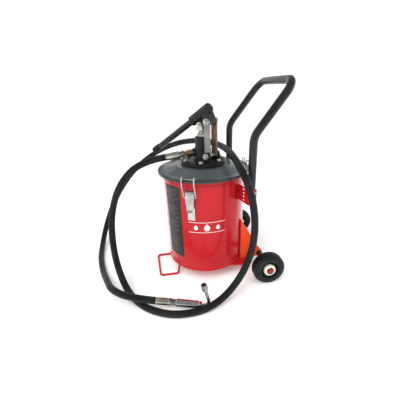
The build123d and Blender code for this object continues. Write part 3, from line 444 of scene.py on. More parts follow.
def make_looks():
    """All the finishes, by the names that the pieces use."""
    LOOKS.update(
        red=enamel("red_enamel", (0.47, 0.008, 0.013), (0.54, 0.013, 0.020), specular=0.20, rim=True),
        orange=enamel("orange_red_enamel", (0.78, 0.060, 0.018), (0.88, 0.098, 0.026)),
        black=enamel("black_enamel", (0.006, 0.007, 0.008), (0.014, 0.016, 0.019), (0.22, 0.38), 0.0,
                     wear=0.05, specular=0.35),
        lid=lid_enamel(),
        casting=rough_casting("black_casting", (0.003, 0.004, 0.004), (0.013, 0.015, 0.015)),
        lever=rough_casting("lever_black", (0.005, 0.005, 0.004), (0.020, 0.020, 0.016)),
        zinc=plated("bright_zinc", (0.40, 0.40, 0.38), (0.68, 0.68, 0.65)),
        silver=plated("turned_steel", (0.34, 0.34, 0.33), (0.60, 0.60, 0.58), (0.24, 0.4)),
        link=plated("link_zinc", (0.16, 0.18, 0.16), (0.36, 0.38, 0.34), (0.34, 0.5)),
        bronzed=brown_link_plate(),
        chrome=plated("chrome_plate", (0.52, 0.53, 0.55), (0.70, 0.71, 0.73), (0.10, 0.22)),
        pewter=plated("pewter_plate", (0.20, 0.21, 0.19), (0.52, 0.53, 0.50), (0.24, 0.42)),
        ferrule=plated("ferrule_plate", (0.50, 0.47, 0.38), (0.74, 0.71, 0.62), (0.22, 0.38)),
        brass=plated("brass", (0.52, 0.28, 0.15), (0.80, 0.52, 0.32), (0.24, 0.42)),
        steel=plated("oiled_steel", (0.16, 0.16, 0.16), (0.32, 0.32, 0.32), (0.3, 0.5)),
        hose=hose_rubber(),
        rubber=rubber("black_rubber", (0.006, 0.006, 0.007), (0.014, 0.014, 0.016)),
        tyre=rubber("tyre_rubber", (0.005, 0.006, 0.006), (0.013, 0.015, 0.016), 420, 0.00014),
        plastic=rubber("black_moulding", (0.005, 0.005, 0.006), (0.012, 0.013, 0.013), 900, 0.00004),
        white=rubber("white_moulding", (0.62, 0.57, 0.50), (0.80, 0.75, 0.67), 500, 0.00004, (0.28, 0.42)),
        cap=rubber("red_cap", (0.08, 0.010, 0.007), (0.30, 0.030, 0.020), 300, 0.00016, (0.28, 0.5)),
        packing=rubber("packing_braid", (0.20, 0.17, 0.12), (0.36, 0.32, 0.24), 600, 0.0002),
        panel=panel_vinyl(),
        ink=printed("pale_ink", (0.16, 0.16, 0.16), (0.30, 0.30, 0.29)),
        emblem=printed("emblem_ink", (0.70, 0.68, 0.66), (0.90, 0.88, 0.86)),
    )


NODE_LOOKS = {
    "red": ["drum", "foot", "bracket_left", "bracket_right", "base_plate"],
    "orange": ["gusset_left", "gusset_right"],
    "lid": ["lid"],
    "black": ["handle", "axle", "axle_sleeves", "lever_tube"],
    "casting": ["pump_body"],
    "lever": ["lever_head"],
    "rubber": ["lever_grip", "handle_plugs", "lid_gasket", "piston_seal"],
    "packing": ["gland_packing"],
    "zinc": [
        "flange_bolts", "bracket_bolts", "link_top_bolt", "link_low_bolt", "plunger_pin", "rod_clevis",
        "swivel_nut", "valve_nuts", "latch_bases", "latch_rivets", "strainer", "foot_ball",
        *(f"latch_{kind}_{letter}" for kind in ("lever", "bail") for letter in "abc"),
    ],
    "link": ["link_plate_near"],
    "bronzed": ["link_plate_far"],
    "steel": ["barrel", "piston"],
    "silver": ["gland_nut"],
    "brass": ["outlet_adapter", "foot_valve"],
    "chrome": ["plunger_rod", "valve_body"],
    "pewter": ["spout_tip", "spout"],
    "ferrule": ["ferrule_pump", "ferrule_valve"],
    "hose": ["hose"],
    "tyre": ["tyre_left", "tyre_right"],
    "plastic": ["wheel_disc_left", "wheel_disc_right"],
    "white": ["wheel_hub_left", "wheel_hub_right"],
    "cap": ["axle_caps"],
}
SOFT_EDGED = {
    "pump_body": 1.2, "lever_head": 1.6, "bracket_left": 0.5, "bracket_right": 0.5, "gusset_left": 0.5,
    "gusset_right": 0.5, "base_plate": 0.5, "latch_bases": 0.3, "rod_clevis": 0.6, "swivel_nut": 0.5,
    "valve_nuts": 0.5, "outlet_adapter": 0.5, "lid": 0.3,
}


def dress_nodes():
    """Finish every CAD node, and soften the edges of the pressed and cast ones."""
    for look, names in NODE_LOOKS.items():
        for name in names:
            node = nodes[name]
            node.data.materials.clear()
            node.data.materials.append(LOOKS[look])
    for name, width in SOFT_EDGED.items():
        weld = nodes[name].modifiers.new("weld", "WELD")
        weld.merge_threshold = 0.00001
        bevel = nodes[name].modifiers.new("soft edges", "BEVEL")
        bevel.width = width * MM
        bevel.segments = 3
        bevel.limit_method = "ANGLE"
        bevel.angle_limit = radians(40)
        bevel.harden_normals = False


# ---- mesh helpers
def piece(name, shape, body, look, replaces=(), sharp=28):
    """Link a mesh or a bmesh as a named piece that rides on a body."""
    mesh = to_mesh(shape, name) if isinstance(shape, bmesh.types.BMesh) else shape
    mesh.name = name
    for polygon in mesh.polygons:
        polygon.use_smooth = True
    mesh.set_sharp_from_angle(angle=radians(sharp))
    mesh.materials.append(LOOKS[look])
    shown = bpy.data.objects.new(name, mesh)
    scene.collection.objects.link(shown)
    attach(shown, body)
    if replaces:
        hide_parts(*replaces)
    return shown


def to_mesh(bm, name):
    """Finish a bmesh."""
    bmesh.ops.recalc_face_normals(bm, faces=bm.faces[:])
    mesh = bpy.data.meshes.new(name)
    bm.to_mesh(mesh)
    bm.free()
    return mesh


def value_at(value, angle):
    """A number, or a function of the angle round the axis."""
    return value(angle) if callable(value) else value


def skin(bm, rings, closed=False):
    """Faces between rings of points. An open skin gets a flat cap at each end."""
    pairs = list(zip(rings, rings[1:]))
    if closed:
        pairs.append((rings[-1], rings[0]))
    for low, high in pairs:
        for step in range(len(low)):
            after = (step + 1) % len(low)
            bm.faces.new((low[step], low[after], high[after], high[step]))
    if not closed:
        bm.faces.new(rings[0][::-1])
        bm.faces.new(rings[-1])


def turn(bm, place, profile, sides=48, closed=False):
    """Add a turned solid. The profile's (height, radius) pairs are numbers or functions of the angle.
    A closed profile makes a ring; an open one gets a flat cap at each end."""
    rings = []
    for height, radius in profile:
        ring = []
        for step in range(sides):
            angle = 2 * pi * step / sides
            far = value_at(radius, angle)
            local = Vector((far * cos(angle), far * sin(angle), value_at(height, angle)))
            ring.append(bm.verts.new(place @ local))
        rings.append(ring)
    skin(bm, rings, closed)


def in_mm(rows):
    """A profile given in millimetres, in metres. A function in it gives metres already."""
    return [tuple(value if callable(value) else value * MM for value in row) for row in rows]


def turned_piece(name, place, profile, sides, body, look, node, sharp=28, closed=False):
    """A piece that is one turned solid and stands for one CAD node."""
    bm = bmesh.new()
    turn(bm, place, profile, sides, closed)
    piece(name, bm, body, look, [node], sharp=sharp)


def hexagon(across_flats):
    """Radius of a hexagon at an angle."""
    return lambda angle: across_flats / 2 / cos((angle + pi / 6) % (pi / 3) - pi / 6)


HEX_CHAMFER = tan(radians(28))


def hex_profile(across_flats, low, high, both=False):
    """Hexagon with the corners of its outer end, or of both ends, turned off."""
    shape = hexagon(across_flats)
    crown = 0.47 * across_flats
    top = lambda angle: high - (shape(angle) - crown) * HEX_CHAMFER
    bottom = lambda angle: low + (shape(angle) - crown) * HEX_CHAMFER
    start = [(low, crown), (bottom, shape)] if both else [(low, shape)]
    return start + [(top, shape), (high, crown)]


def thread_profile(radius, low, high, pitch):
    """Threaded length as fine ridges."""
    turns = max(1, round((high - low) / pitch))
    step = (high - low) / turns
    rows = []
    for index in range(turns):
        start = low + index * step
        rows += [(start, radius - 0.3 * pitch), (start + 0.35 * step, radius), (start + 0.65 * step, radius)]
    return rows + [(high, radius - 0.3 * pitch)]


def washer_profile(outer, inner, low, high):
    """Flat ring with rounded rims, for a closed turn."""
    soft = min(0.25 * (high - low), 0.3 * MM)
    return [
        (low, inner), (low, outer - soft), (low + soft, outer), (high - soft, outer),
        (high, outer - soft), (high, inner),
    ]


# ---- hose
HOSE_R = 11 * MM
HOSE_ROUTE = [
    (0, -0.1549, 0.4179),
    (0, -0.2384, 0.4091),
    (0, -0.316, 0.339),
    (0.010, -0.357, 0.240),
    (0.042, -0.366, 0.140),
    (0.100, -0.350, 0.058),
    (0.176, -0.311, 0.011),
    (0.247, -0.250, 0.011),
    (0.286, -0.164, 0.011),
    (0.275, -0.057, 0.011),
    (0.229, 0.034, 0.054),
    (0.209, 0.084, 0.148),
    (0.204, 0.092, 0.252),
    (0.190, 0.076, 0.356),
    (0.118, 0.056, 0.417),
    (0.004, 0.055, 0.432),
    (-0.108, 0.029, 0.435),
    (-0.210, -0.022, 0.428),
    (-0.285, -0.098, 0.408),
    (-0.328, -0.189, 0.366),
    (-0.340, -0.282, 0.302),
    (-0.327, -0.358, 0.221),
    (-0.293, -0.414, 0.136),
    (-0.240, -0.446, 0.062),
    (-0.162, -0.457, 0.014),
    (-0.070, -0.448, 0.011),
    (0.022, -0.424, 0.011),
    (0.103, -0.393, 0.028),
    (0.171, -0.367, 0.044),
    (0.2201, -0.3061, 0.0458),
    (0.2337, -0.2283, 0.0334),
]


def route_points():
    """Points along the hose's smooth line, read from one NURBS spline through its route."""
    curve = bpy.data.curves.new("hose_route", "CURVE")
    curve.dimensions = "3D"
    curve.resolution_u = 24
    spline = curve.splines.new("NURBS")
    spline.points.add(len(HOSE_ROUTE) - 1)
    for control, place in zip(spline.points, HOSE_ROUTE):
        control.co = (*place, 1)
    spline.order_u = 3
    spline.use_endpoint_u = True
    holder = bpy.data.objects.new("hose_route", curve)
    scene.collection.objects.link(holder)
    line = bpy.data.meshes.new_from_object(holder)
    points = [vertex.co.copy() for vertex in line.vertices]
    bpy.data.objects.remove(holder)
    bpy.data.meshes.remove(line)
    return points


def even_steps(points, step):
    """The same line in even steps."""
    spaced = [points[0].copy()]
    left = step
    for start, end in zip(points, points[1:]):
        run = (end - start).length
        done = 0.0
        while run - done >= left:
            done += left
            spaced.append(start.lerp(end, done / run))
            left = step
        left -= run - done
    if (spaced[-1] - points[-1]).length > 0.3 * step:
        spaced.append(points[-1].copy())
    else:
        spaced[-1] = points[-1].copy()
    return spaced


def tube_mesh(name, points, radius, sides=28):
    """Round tube along points, with UVs in metres along it and a turn as one unit round it.
    The radius is a number or a function of the distance along and the angle."""
    directions = []
    for index in range(len(points)):
        before = points[max(0, index - 1)]
        after = points[min(len(points) - 1, index + 1)]
        directions.append((after - before).normalized())
    side = directions[0].orthogonal().normalized()
    bm = bmesh.new()
    rings, travelled, distances = [], 0.0, []
    for index, (point, ahead) in enumerate(zip(points, directions)):
        if index:
            travelled += (point - points[index - 1]).length
            side = (side - ahead * side.dot(ahead)).normalized()
        other = ahead.cross(side)
        ring = []
        for step in range(sides):
            angle = 2 * pi * step / sides
            far = radius(travelled, angle) if callable(radius) else radius
            ring.append(bm.verts.new(point + (side * cos(angle) + other * sin(angle)) * far))
        rings.append(ring)
        distances.append(travelled)
    uv = bm.loops.layers.uv.new("UVMap")
    for index in range(len(rings) - 1):
        for step in range(sides):
            after = (step + 1) % sides
            low, high = rings[index], rings[index + 1]
            face = bm.faces.new((low[step], low[after], high[after], high[step]))
            along = (distances[index], distances[index], distances[index + 1], distances[index + 1])
            around = (step, step + 1, step + 1, step)
            for loop, distance, turn_step in zip(face.loops, along, around):
                loop[uv].uv = (distance, turn_step / sides)
    bm.faces.new(rings[0][::-1])
    bm.faces.new(rings[-1])
    return to_mesh(bm, name)


WRAP_PITCH = 38 * MM
WRAP_DEPTH = 0.12 * MM


def hose_radius(distance, angle):
    """Outside radius of the hose, with the faint spiral edge that its curing wrap leaves."""
    phase = (distance / WRAP_PITCH + angle / (2 * pi)) % 1.0
    return HOSE_R - WRAP_DEPTH * max(0.0, 1 - 12 * min(phase, 1 - phase))


def add_hose():
    """The delivery hose, from the outlet to the dispensing valve."""
    points = even_steps(route_points(), 4 * MM)
    mesh = tube_mesh("delivery_hose", points, hose_radius)
    hose = piece("delivery_hose", mesh, "trolley", "hose", ["hose"], sharp=60)
    print("hose length", round(sum((b - a).length for a, b in zip(points, points[1:])), 4))


# ---- fittings on the hose
OUTLET_DIR = (Vector(HOSE_ROUTE[1]) - Vector(HOSE_ROUTE[0])).normalized()
NOZZLE_DIR = (Vector(HOSE_ROUTE[-1]) - Vector(HOSE_ROUTE[-2])).normalized()
FERRULE_R = 11.9 * MM
FERRULE_PUMP = 48 * MM
FERRULE_VALVE = 45 * MM


def crimped(length):
    """Crimped ferrule: rolled collar at the hose, eight pressed flats, then a neck."""
    rolled, long = FERRULE_R / MM, length / MM
    flats = lambda angle: (rolled - 0.75 * abs(cos(4 * angle)) ** 3) * MM
    neck = rolled - 0.9
    return in_mm([
        (0, rolled - 1.2), (0.4, rolled - 0.3), (1.2, rolled), (3.4, rolled), (4.6, neck), (5.6, neck),
        (7, flats), (long - 9, flats), (long - 7.5, neck), (long - 6.5, neck), (long - 5, rolled),
        (long - 1.2, rolled), (long - 0.4, rolled - 0.4), (long, rolled - 1.4),
    ])


def add_ferrules():
    """The two crimped ends of the hose."""
    for name, node, start, ahead, long in (
        ("hose_ferrule_pump", "ferrule_pump", HOSE_ROUTE[0], -OUTLET_DIR, FERRULE_PUMP),
        ("hose_ferrule_valve", "ferrule_valve", HOSE_ROUTE[-1], NOZZLE_DIR, FERRULE_VALVE),
    ):
        turned_piece(name, turned_frame(start, ahead), crimped(long), 64, "trolley", "ferrule",
                     node)


VALVE_START = 58 * MM
VALVE_LENGTH = 85 * MM
VALVE_R = 13 * MM


def add_valve_barrel():
    """Chromed grip of the dispensing valve, with turned end grooves."""
    full, end = VALVE_R / MM, VALVE_LENGTH / MM
    groove = full - 0.6
    profile = in_mm([
        (0, full - 3.4), (1.2, full - 2.2), (5, full - 2.0), (6.4, full - 0.5), (8, full), (14, full),
        (14.6, groove), (15.6, groove), (16.2, full), (end - 22, full), (end - 21.4, groove),
        (end - 20.4, groove), (end - 19.8, full), (end - 14, full), (end - 12, groove), (end - 9, full - 2.2),
    ])
    profile += hex_profile(19.5 * MM, VALVE_LENGTH - 8.6 * MM, VALVE_LENGTH)
    start = Vector(HOSE_ROUTE[-1]) + NOZZLE_DIR * VALVE_START
    turned_piece("valve_barrel", turned_frame(start, NOZZLE_DIR), profile, 72, "trolley", "chrome",
                 "valve_body")


def spout_mouth():
    """Top centre of the spout's coupler and the direction that it faces."""
    mount = next(m for m in frame["record"]["mounts"] if m["name"] == "spout_mouth")
    return Vector(mount["pos_m"]), Vector(mount["axis"]).normalized(), mount["dims"]["r_mm"] * MM


def add_spout_coupler():
    """Hexagon and knurled cup on the end of the spout, open upwards."""
    mouth, ahead, bore = spout_mouth()
    long, deep, inside = 22, 14, bore / MM
    knurl = lambda angle: (9.4 - 0.35 * abs(sin(14 * angle))) * MM
    shape = hexagon(17 * MM)
    profile = in_mm([
        (0, 6.5), (0.9, shape), (11, shape), (12, 8.0), (13, 8.0), (13.6, 9.2), (14.2, knurl),
        (19.6, knurl), (20.2, 9.3), (21.2, 9.3), (long, 8.5), (long, inside + 0.8), (long - 0.8, inside),
        (long - deep, inside), (long - deep, 0.6),
    ])
    turned_piece("spout_coupler", turned_frame(mouth - ahead * (long * MM), ahead), profile, 84, "trolley",
                 "pewter", "spout_tip", sharp=30)


# ---- markings on the drum
def curved_patch(bm, outline, radius, thickness, steps=1.0):
    """Thin raised patch that follows the drum. The outline is a list of rows, each a height and
    the two azimuths where the patch starts and ends there."""
    columns = max(2, int(max(abs(end - start) for _, start, end in outline) / steps))
    layers = []
    for far in (radius, radius + thickness):
        grid = []
        for z, start, end in outline:
            azimuths = [start + (end - start) * step / columns for step in range(columns + 1)]
            grid.append([bm.verts.new(drum_point(azimuth, far, z)) for azimuth in azimuths])
        layers.append(grid)
    inner, outer = layers
    rows = len(outline)
    for row in range(rows - 1):
        for column in range(columns):
            for grid, order in ((outer, 1), (inner, -1)):
                corners = (grid[row][column], grid[row][column + 1],
                           grid[row + 1][column + 1], grid[row + 1][column])
                bm.faces.new(corners[::order])
    edge = [(0, column) for column in range(columns)]
    edge += [(row, columns) for row in range(rows - 1)]
    edge += [(rows - 1, column) for column in range(columns, 0, -1)]
    edge += [(row, 0) for row in range(rows - 1, 0, -1)]
    for (row, column), (next_row, next_column) in zip(edge, edge[1:] + edge[:1]):
        bm.faces.new((inner[row][column], inner[next_row][next_column],
                      outer[next_row][next_column], outer[row][column]))


PANEL = {"from": -72.0, "to": -42.0, "low": 86 * MM, "high": 345 * MM}
FILM = 0.25 * MM
FILM_R = DRUM_R + 0.12 * MM
INK = 0.12 * MM
RULE = 0.4 * MM


def add_panel():
    """Black label panel down the left of the drum, with pale rules and ticks where text would be."""
    bm = bmesh.new()
    rows = [(PANEL["low"] + (PANEL["high"] - PANEL["low"]) * step / 12, PANEL["from"], PANEL["to"])
            for step in range(13)]
    curved_patch(bm, rows, FILM_R, FILM)
    piece("label_panel", bm, "trolley", "panel", sharp=32)
    bm = bmesh.new()
    top = PANEL["high"] - 12 * MM
    pattern = (0.86, 0.62, 0.74, 0.40, 0.80, 0.55)
    for line in range(30):
        z = top - line * 8 * MM
        if line % 7 == 6:
            continue
        reach = pattern[line % len(pattern)]
        start = PANEL["from"] + 2.5
        middle = start + 6.0
        end = middle + 1.5 + (PANEL["to"] - middle - 4.0) * reach
        for left, right in ((start, middle), (middle + 1.5, end)):
            curved_patch(bm, [(z - RULE, left, right), (z + RULE, left, right)], FILM_R + FILM, INK)
    piece("label_rules", bm, "trolley", "ink", sharp=32)


EMBLEM_AZIMUTH = -6.6
EMBLEM_Z = 213 * MM
EMBLEM_HALF = 12.5 * MM


def emblem_rows(centre, scale, width=1.0):
    """Rows of a drop shape, round below and pointed above."""
    rows = []
    for step in range(25):
        t = step / 24
        z = EMBLEM_Z + EMBLEM_HALF * scale * (2 * t - 1)
        half = EMBLEM_HALF * scale * width * max(0.02, (1 - t) ** 0.9 * (4 * t + 0.05) ** 0.5 * 0.95)
        spread = half / DRUM_R * 180 / pi
        rows.append((z, centre - spread, centre + spread))
    return rows


def add_emblem():
    """Generic mark on the drum's front: a row of three oil drops between two plain rules."""
    bm = bmesh.new()
    for centre, scale in ((EMBLEM_AZIMUTH - 15, 0.7), (EMBLEM_AZIMUTH, 1.0), (EMBLEM_AZIMUTH + 15, 0.7)):
        curved_patch(bm, emblem_rows(centre, scale), FILM_R, FILM, 0.5)
    for z, half_width in ((EMBLEM_Z - 18 * MM, 25.0), (EMBLEM_Z + 18 * MM, 25.0)):
        ends = (EMBLEM_AZIMUTH - half_width, EMBLEM_AZIMUTH + half_width)
        curved_patch(bm, [(z - 0.9 * MM, *ends), (z + 0.9 * MM, *ends)], FILM_R, FILM)
    piece("drop_emblem", bm, "trolley", "emblem", sharp=32)


# ---- wheels
def wheel_place(side):
    """Frame at a wheel's centre whose local Z points away from the trolley along the axle."""
    centre = (side * WHEEL_X, AXLE_Y, WHEEL_R)
    return turned_frame(centre, (side, 0, 0))


WHEEL_X = 176 * MM
CAP_STEP = 24.3 * MM
TREAD_STEPS = (-9.0, 0.0, 9.0)


def tyre_profile():
    """Closed section of the tyre: grooved tread, round shoulders and ringed side walls."""
    half, low, high = 20.0, 31.0, 54.6
    rows = [(-half + 4.5, low), (-half + 1.2, low + 1.4), (-half + 0.4, low + 4)]
    for height in (low + 7, low + 12):
        rows += [(-half + 0.2, height), (-half + 0.9, height + 0.7), (-half + 0.2, height + 1.4)]
    rows += [(-half + 0.8, high - 8), (-half + 2.6, high - 4), (-half + 5.4, high - 1.5),
             (-half + 8, high - 0.3)]
    for step in TREAD_STEPS:
        rows += [(step - 1.5, high), (step - 1.1, high - 2.4), (step + 1.1, high - 2.4), (step + 1.5, high)]
    mirrored = [(-across, height) for across, height in reversed(rows) if across < -half + 9]
    return in_mm(rows + mirrored)


def add_tyre(side, hand):
    """Solid rubber tyre."""
    turned_piece(f"grooved_tyre_{hand}", wheel_place(side), tyre_profile(), 120, f"wheel_{hand}", "tyre",
                 f"tyre_{hand}", sharp=40, closed=True)


def add_wheel_disc(side, hand):
    """Moulded disc: dished between the bead seat and the hub, with eight low ribs."""
    rows = [
        (10.0, 20.0, 0), (10.4, 21.0, 0), (7.4, 22.2, 1), (6.8, 23.4, 1), (7.0, 25.4, 1), (8.8, 27.0, 0),
        (12.4, 27.6, 0), (13.0, 28.4, 0), (13.0, 30.6, 0), (12.6, 31.2, 0),
    ]
    rib = lambda angle: 1.2 * max(0.0, cos(4 * angle)) ** 12
    face = lambda sign, across, ribbed: lambda angle: sign * (across + ribbed * rib(angle)) * MM
    profile = [(face(1, across, ribbed), height * MM) for across, height, ribbed in rows]
    profile += [(face(-1, across, ribbed), height * MM) for across, height, ribbed in reversed(rows)]
    turned_piece(f"dished_disc_{hand}", wheel_place(side), profile, 128, f"wheel_{hand}", "plastic",
                 f"wheel_disc_{hand}", sharp=35, closed=True)


def add_hub(side, hand):
    """Pale hub with a rolled ring on each face round a dark recess."""
    half = 22.0
    rows = [
        (half - 9.5, 7.3), (half - 9.2, 9.4), (half - 4.0, 10.6), (half - 1.6, 11.8), (half - 0.4, 13.6),
        (half - 0.1, 15.8), (half - 0.6, 17.8), (half - 2.0, 19.4), (half - 4.0, 20.3), (half - 6.5, 20.4),
        (half - 8.0, 20.0),
    ]
    mirrored = [(-across, height) for across, height in reversed(rows)]
    turned_piece(f"ringed_hub_{hand}", wheel_place(side), in_mm(rows + mirrored), 72, f"wheel_{hand}",
                 "white", f"wheel_hub_{hand}", sharp=30, closed=True)


def add_axle_cap():
    """Pair of domed push-on caps on the axle's ends, with a pressed slot ring each."""
    bm = bmesh.new()
    for side in (-1, 1):
        rows = [(-2.0, 7.2), (-1.9, 9.6), (-1.2, 10.0), (0.6, 10.0), (1.6, 9.4), (2.1, 8.4), (1.7, 7.6),
                (2.2, 6.8), (2.9, 4.6), (3.2, 2.0), (3.2, 0.4)]
        centre = (side * (WHEEL_X + CAP_STEP), AXLE_Y, WHEEL_R)
        place = turned_frame(centre, (side, 0, 0))
        turn(bm, place, in_mm(rows), 48)
    piece("domed_caps", bm, "trolley", "cap", ["axle_caps"], sharp=30)


# ---- bolts
def add_bolt(bm, place, flats, head, washer=None, shank=None, pitch=1.25 * MM, tail=0.0):
    """Chamfered hexagon standing on a plane, with its washer under it and a threaded tail over it."""
    start = 0.0
    if washer:
        turn(bm, place, washer_profile(washer, 0.30 * flats, 0, 1.6 * MM), 40, closed=True)
        start = 1.6 * MM
    turn(bm, place, hex_profile(flats, start, start + head), 60)
    if tail:
        rows = thread_profile(shank, start + head, start + head + tail, pitch)
        turn(bm, place, rows + [(start + head + tail + 0.6 * MM, shank - 0.8 * MM)], 32)
    else:
        crown = start + head
        turn(bm, place, [(crown - 0.2 * MM, 0.36 * flats), (crown + 0.25 * MM, 0.34 * flats)], 40)


FLANGE_BOLTS_R = 62 * MM
FLANGE_T = 14 * MM
LID_SHEET = 2 * MM


def add_flange_bolts():
    """Six bolts with washers round the pump flange, and their nuts under the lid."""
    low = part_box("pump_body")[0][2]
    bm = bmesh.new()
    for index in range(6):
        azimuth = LEVER_AZIMUTH - 180 + 60 * index
        top = drum_point(azimuth, FLANGE_BOLTS_R, low + FLANGE_T)
        upper = turned_frame(top, (0, 0, 1), radial(azimuth + 7 * index))
        add_bolt(bm, upper, 13 * MM, 5.3 * MM, 8.5 * MM)
        bottom = drum_point(azimuth, FLANGE_BOLTS_R, low - LID_SHEET)
        lower = turned_frame(bottom, (0, 0, -1), radial(azimuth))
        add_bolt(bm, lower, 13 * MM, 5.8 * MM, None, 4 * MM, 1.25 * MM, 2.4 * MM)
    piece("flange_screws", bm, "trolley", "zinc", ["flange_bolts"])


def add_bracket_bolts():
    """Four bolts that hold the uprights to their brackets."""
    low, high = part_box("bracket_bolts")
    wing = high[0] - 5.3 * MM
    bm = bmesh.new()
    for side in (-1, 1):
        for z in (low[2] + 7.5 * MM, high[2] - 7.5 * MM):
            centre = (side * wing, DRUM_Y + 127 * MM, z)
            add_bolt(bm, turned_frame(centre, (side, 0, 0), (0, 0.3, 1)), 13 * MM, 5.0 * MM)
    piece("bracket_screws", bm, "trolley", "zinc",
          ["bracket_bolts"])


def cross_place(along, z, side, distance):
    """Frame on one side of the lever's plane, facing away from it."""
    origin = DRUM_AXIS + LEVER_OUT * along + ACROSS * (side * distance) + Vector((0, 0, z))
    return turned_frame(origin, ACROSS * side, (0, 0, 1))


def add_cross_bolt(name, node, body, along, z, inner):
    """Bolt through the lever's plane, with its head on the side of ACROSS and its nut on the other."""
    bm = bmesh.new()
    head = 7 * MM
    shank = 6 * MM
    add_bolt(bm, cross_place(along, z, 1, inner), 19 * MM, head - 0.3 * MM)
    add_bolt(bm, cross_place(along, z, -1, inner), 19 * MM, head - 0.2 * MM, None, shank, 1.5 * MM, 3.2 * MM)
    middle = cross_place(along, z, 1, -inner)
    turn(bm, middle, [(0, shank), (2 * inner, shank)], 40)
    piece(name, bm, body, "silver", [node])


LINK_TOP = (-34 * MM, 527 * MM)
LINK_LOW = (-35.2 * MM, 420 * MM)
PIN_Z = 514 * MM
CHEEK = 16.5 * MM
LINK_OUTER = 22.5 * MM
LUG_OUTER = 29.1 * MM


def add_link_bolts():
    """The link's two bolts and the plunger's clevis pin."""
    add_cross_bolt("link_top_screw", "link_top_bolt", "link", *LINK_TOP, LINK_OUTER)
    add_cross_bolt("link_low_screw", "link_low_bolt", "trolley", *LINK_LOW, LUG_OUTER)
    bm = bmesh.new()
    head = [(0, 7.4), (0.6, 8), (2.4, 8), (3.8, 7.0), (4.7, 4.8), (5.0, 1.5)]
    turn(bm, cross_place(0, PIN_Z, 1, CHEEK), in_mm(head), 48)
    washer = washer_profile(7.5 * MM, 5 * MM, 0, 1.6 * MM)
    turn(bm, cross_place(0, PIN_Z, -1, CHEEK), washer, 40, closed=True)
    turn(bm, cross_place(0, PIN_Z, 1, -18.4 * MM), in_mm([(-1.9, 4.2), (-1.4, 5), (34.9, 5)]), 40)
    split_pin = DRUM_AXIS - ACROSS * 18.9 * MM + Vector((0, 0, PIN_Z - 6.6 * MM))
    turn(bm, turned_frame(split_pin, (0, 0, 1), LEVER_OUT), in_mm([(0, 0.9), (13.2, 0.9)]), 16)
    piece("clevis_pin", bm, "plunger", "zinc", ["plunger_pin"])


def add_gland():
    """Turned gland nut: a chamfered hexagon under two stacked rings."""
    long = 19
    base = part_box("gland_nut")[1][2] - long * MM
    shape = hexagon(29 * MM)
    rows = [
        (0, 14), (0.6, shape), (8.4, shape), (9.6, 14.2), (10.2, 13.4), (10.6, 12.4), (11.4, 12.4),
        (11.8, 13.8), (13.8, 13.8), (14.3, 12.6), (14.6, 10.8), (15.4, 10.8), (15.8, 11.5), (17.6, 11.5),
        (long, 10.0), (long, 7.3), (0.4, 7.3),
    ]
    turned_piece("ringed_gland", turned_frame(drum_point(0, 0, base), (0, 0, 1), LEVER_OUT), in_mm(rows),
                 96, "trolley", "silver", "gland_nut", closed=True)


# ---- outlet fittings
def outlet_place(distance):
    """Frame along the outlet, at a distance measured back from the hose's start."""
    return turned_frame(Vector(HOSE_ROUTE[0]) - OUTLET_DIR * distance, OUTLET_DIR)


def add_outlet_fittings():
    """Brass adapter and the swivel nut of the hose, as chamfered hexagons with necks and threads."""
    reach = 106 * MM
    adapter_start, adapter_end, swivel_end = 14 * MM, 42 * MM, 58 * MM
    rows = hex_profile(22 * MM, 0, 20 * MM, both=True) + in_mm([(20.2, 8.2)])
    rows += thread_profile(8.5 * MM, 20.4 * MM, adapter_end - adapter_start, 1.5 * MM)
    turned_piece("brass_adapter", outlet_place(reach - adapter_start), rows, 72, "trolley", "brass",
                 "outlet_adapter")
    long = (swivel_end - adapter_end) / MM
    rows = hex_profile(24 * MM, 0, 9 * MM, both=True)
    rows += in_mm([(9.2, 9.4), (9.8, 10), (long - 1.4, 10), (long, 9.0)])
    turned_piece("swivel_hexagon", outlet_place(reach - adapter_end), rows, 72, "trolley", "silver",
                 "swivel_nut")


def add_valve_nuts():
    """Two jam nuts and a neck between the hose's end and the dispensing valve."""
    start = Vector(HOSE_ROUTE[-1]) + NOZZLE_DIR * FERRULE_VALVE
    rows = hex_profile(22 * MM, 0, 6 * MM, both=True) + in_mm([(6.1, 8.0), (7.9, 8.0)])
    rows += hex_profile(20 * MM, 8 * MM, 13 * MM, both=True)
    turned_piece("valve_nuts_turned", turned_frame(start, NOZZLE_DIR), rows, 72, "trolley", "pewter",
                 "valve_nuts")


# ---- latches
LATCHES = {"a": -26.5, "b": 93.5, "c": 213.5}
LATCH_PIN = (147 * MM, 334 * MM)
LEVER_SHEET = 1.8 * MM


def loft(bm, sections):
    """Closed solid through sections, each a ring of points in the same order."""
    skin(bm, [[bm.verts.new(point) for point in section] for section in sections])


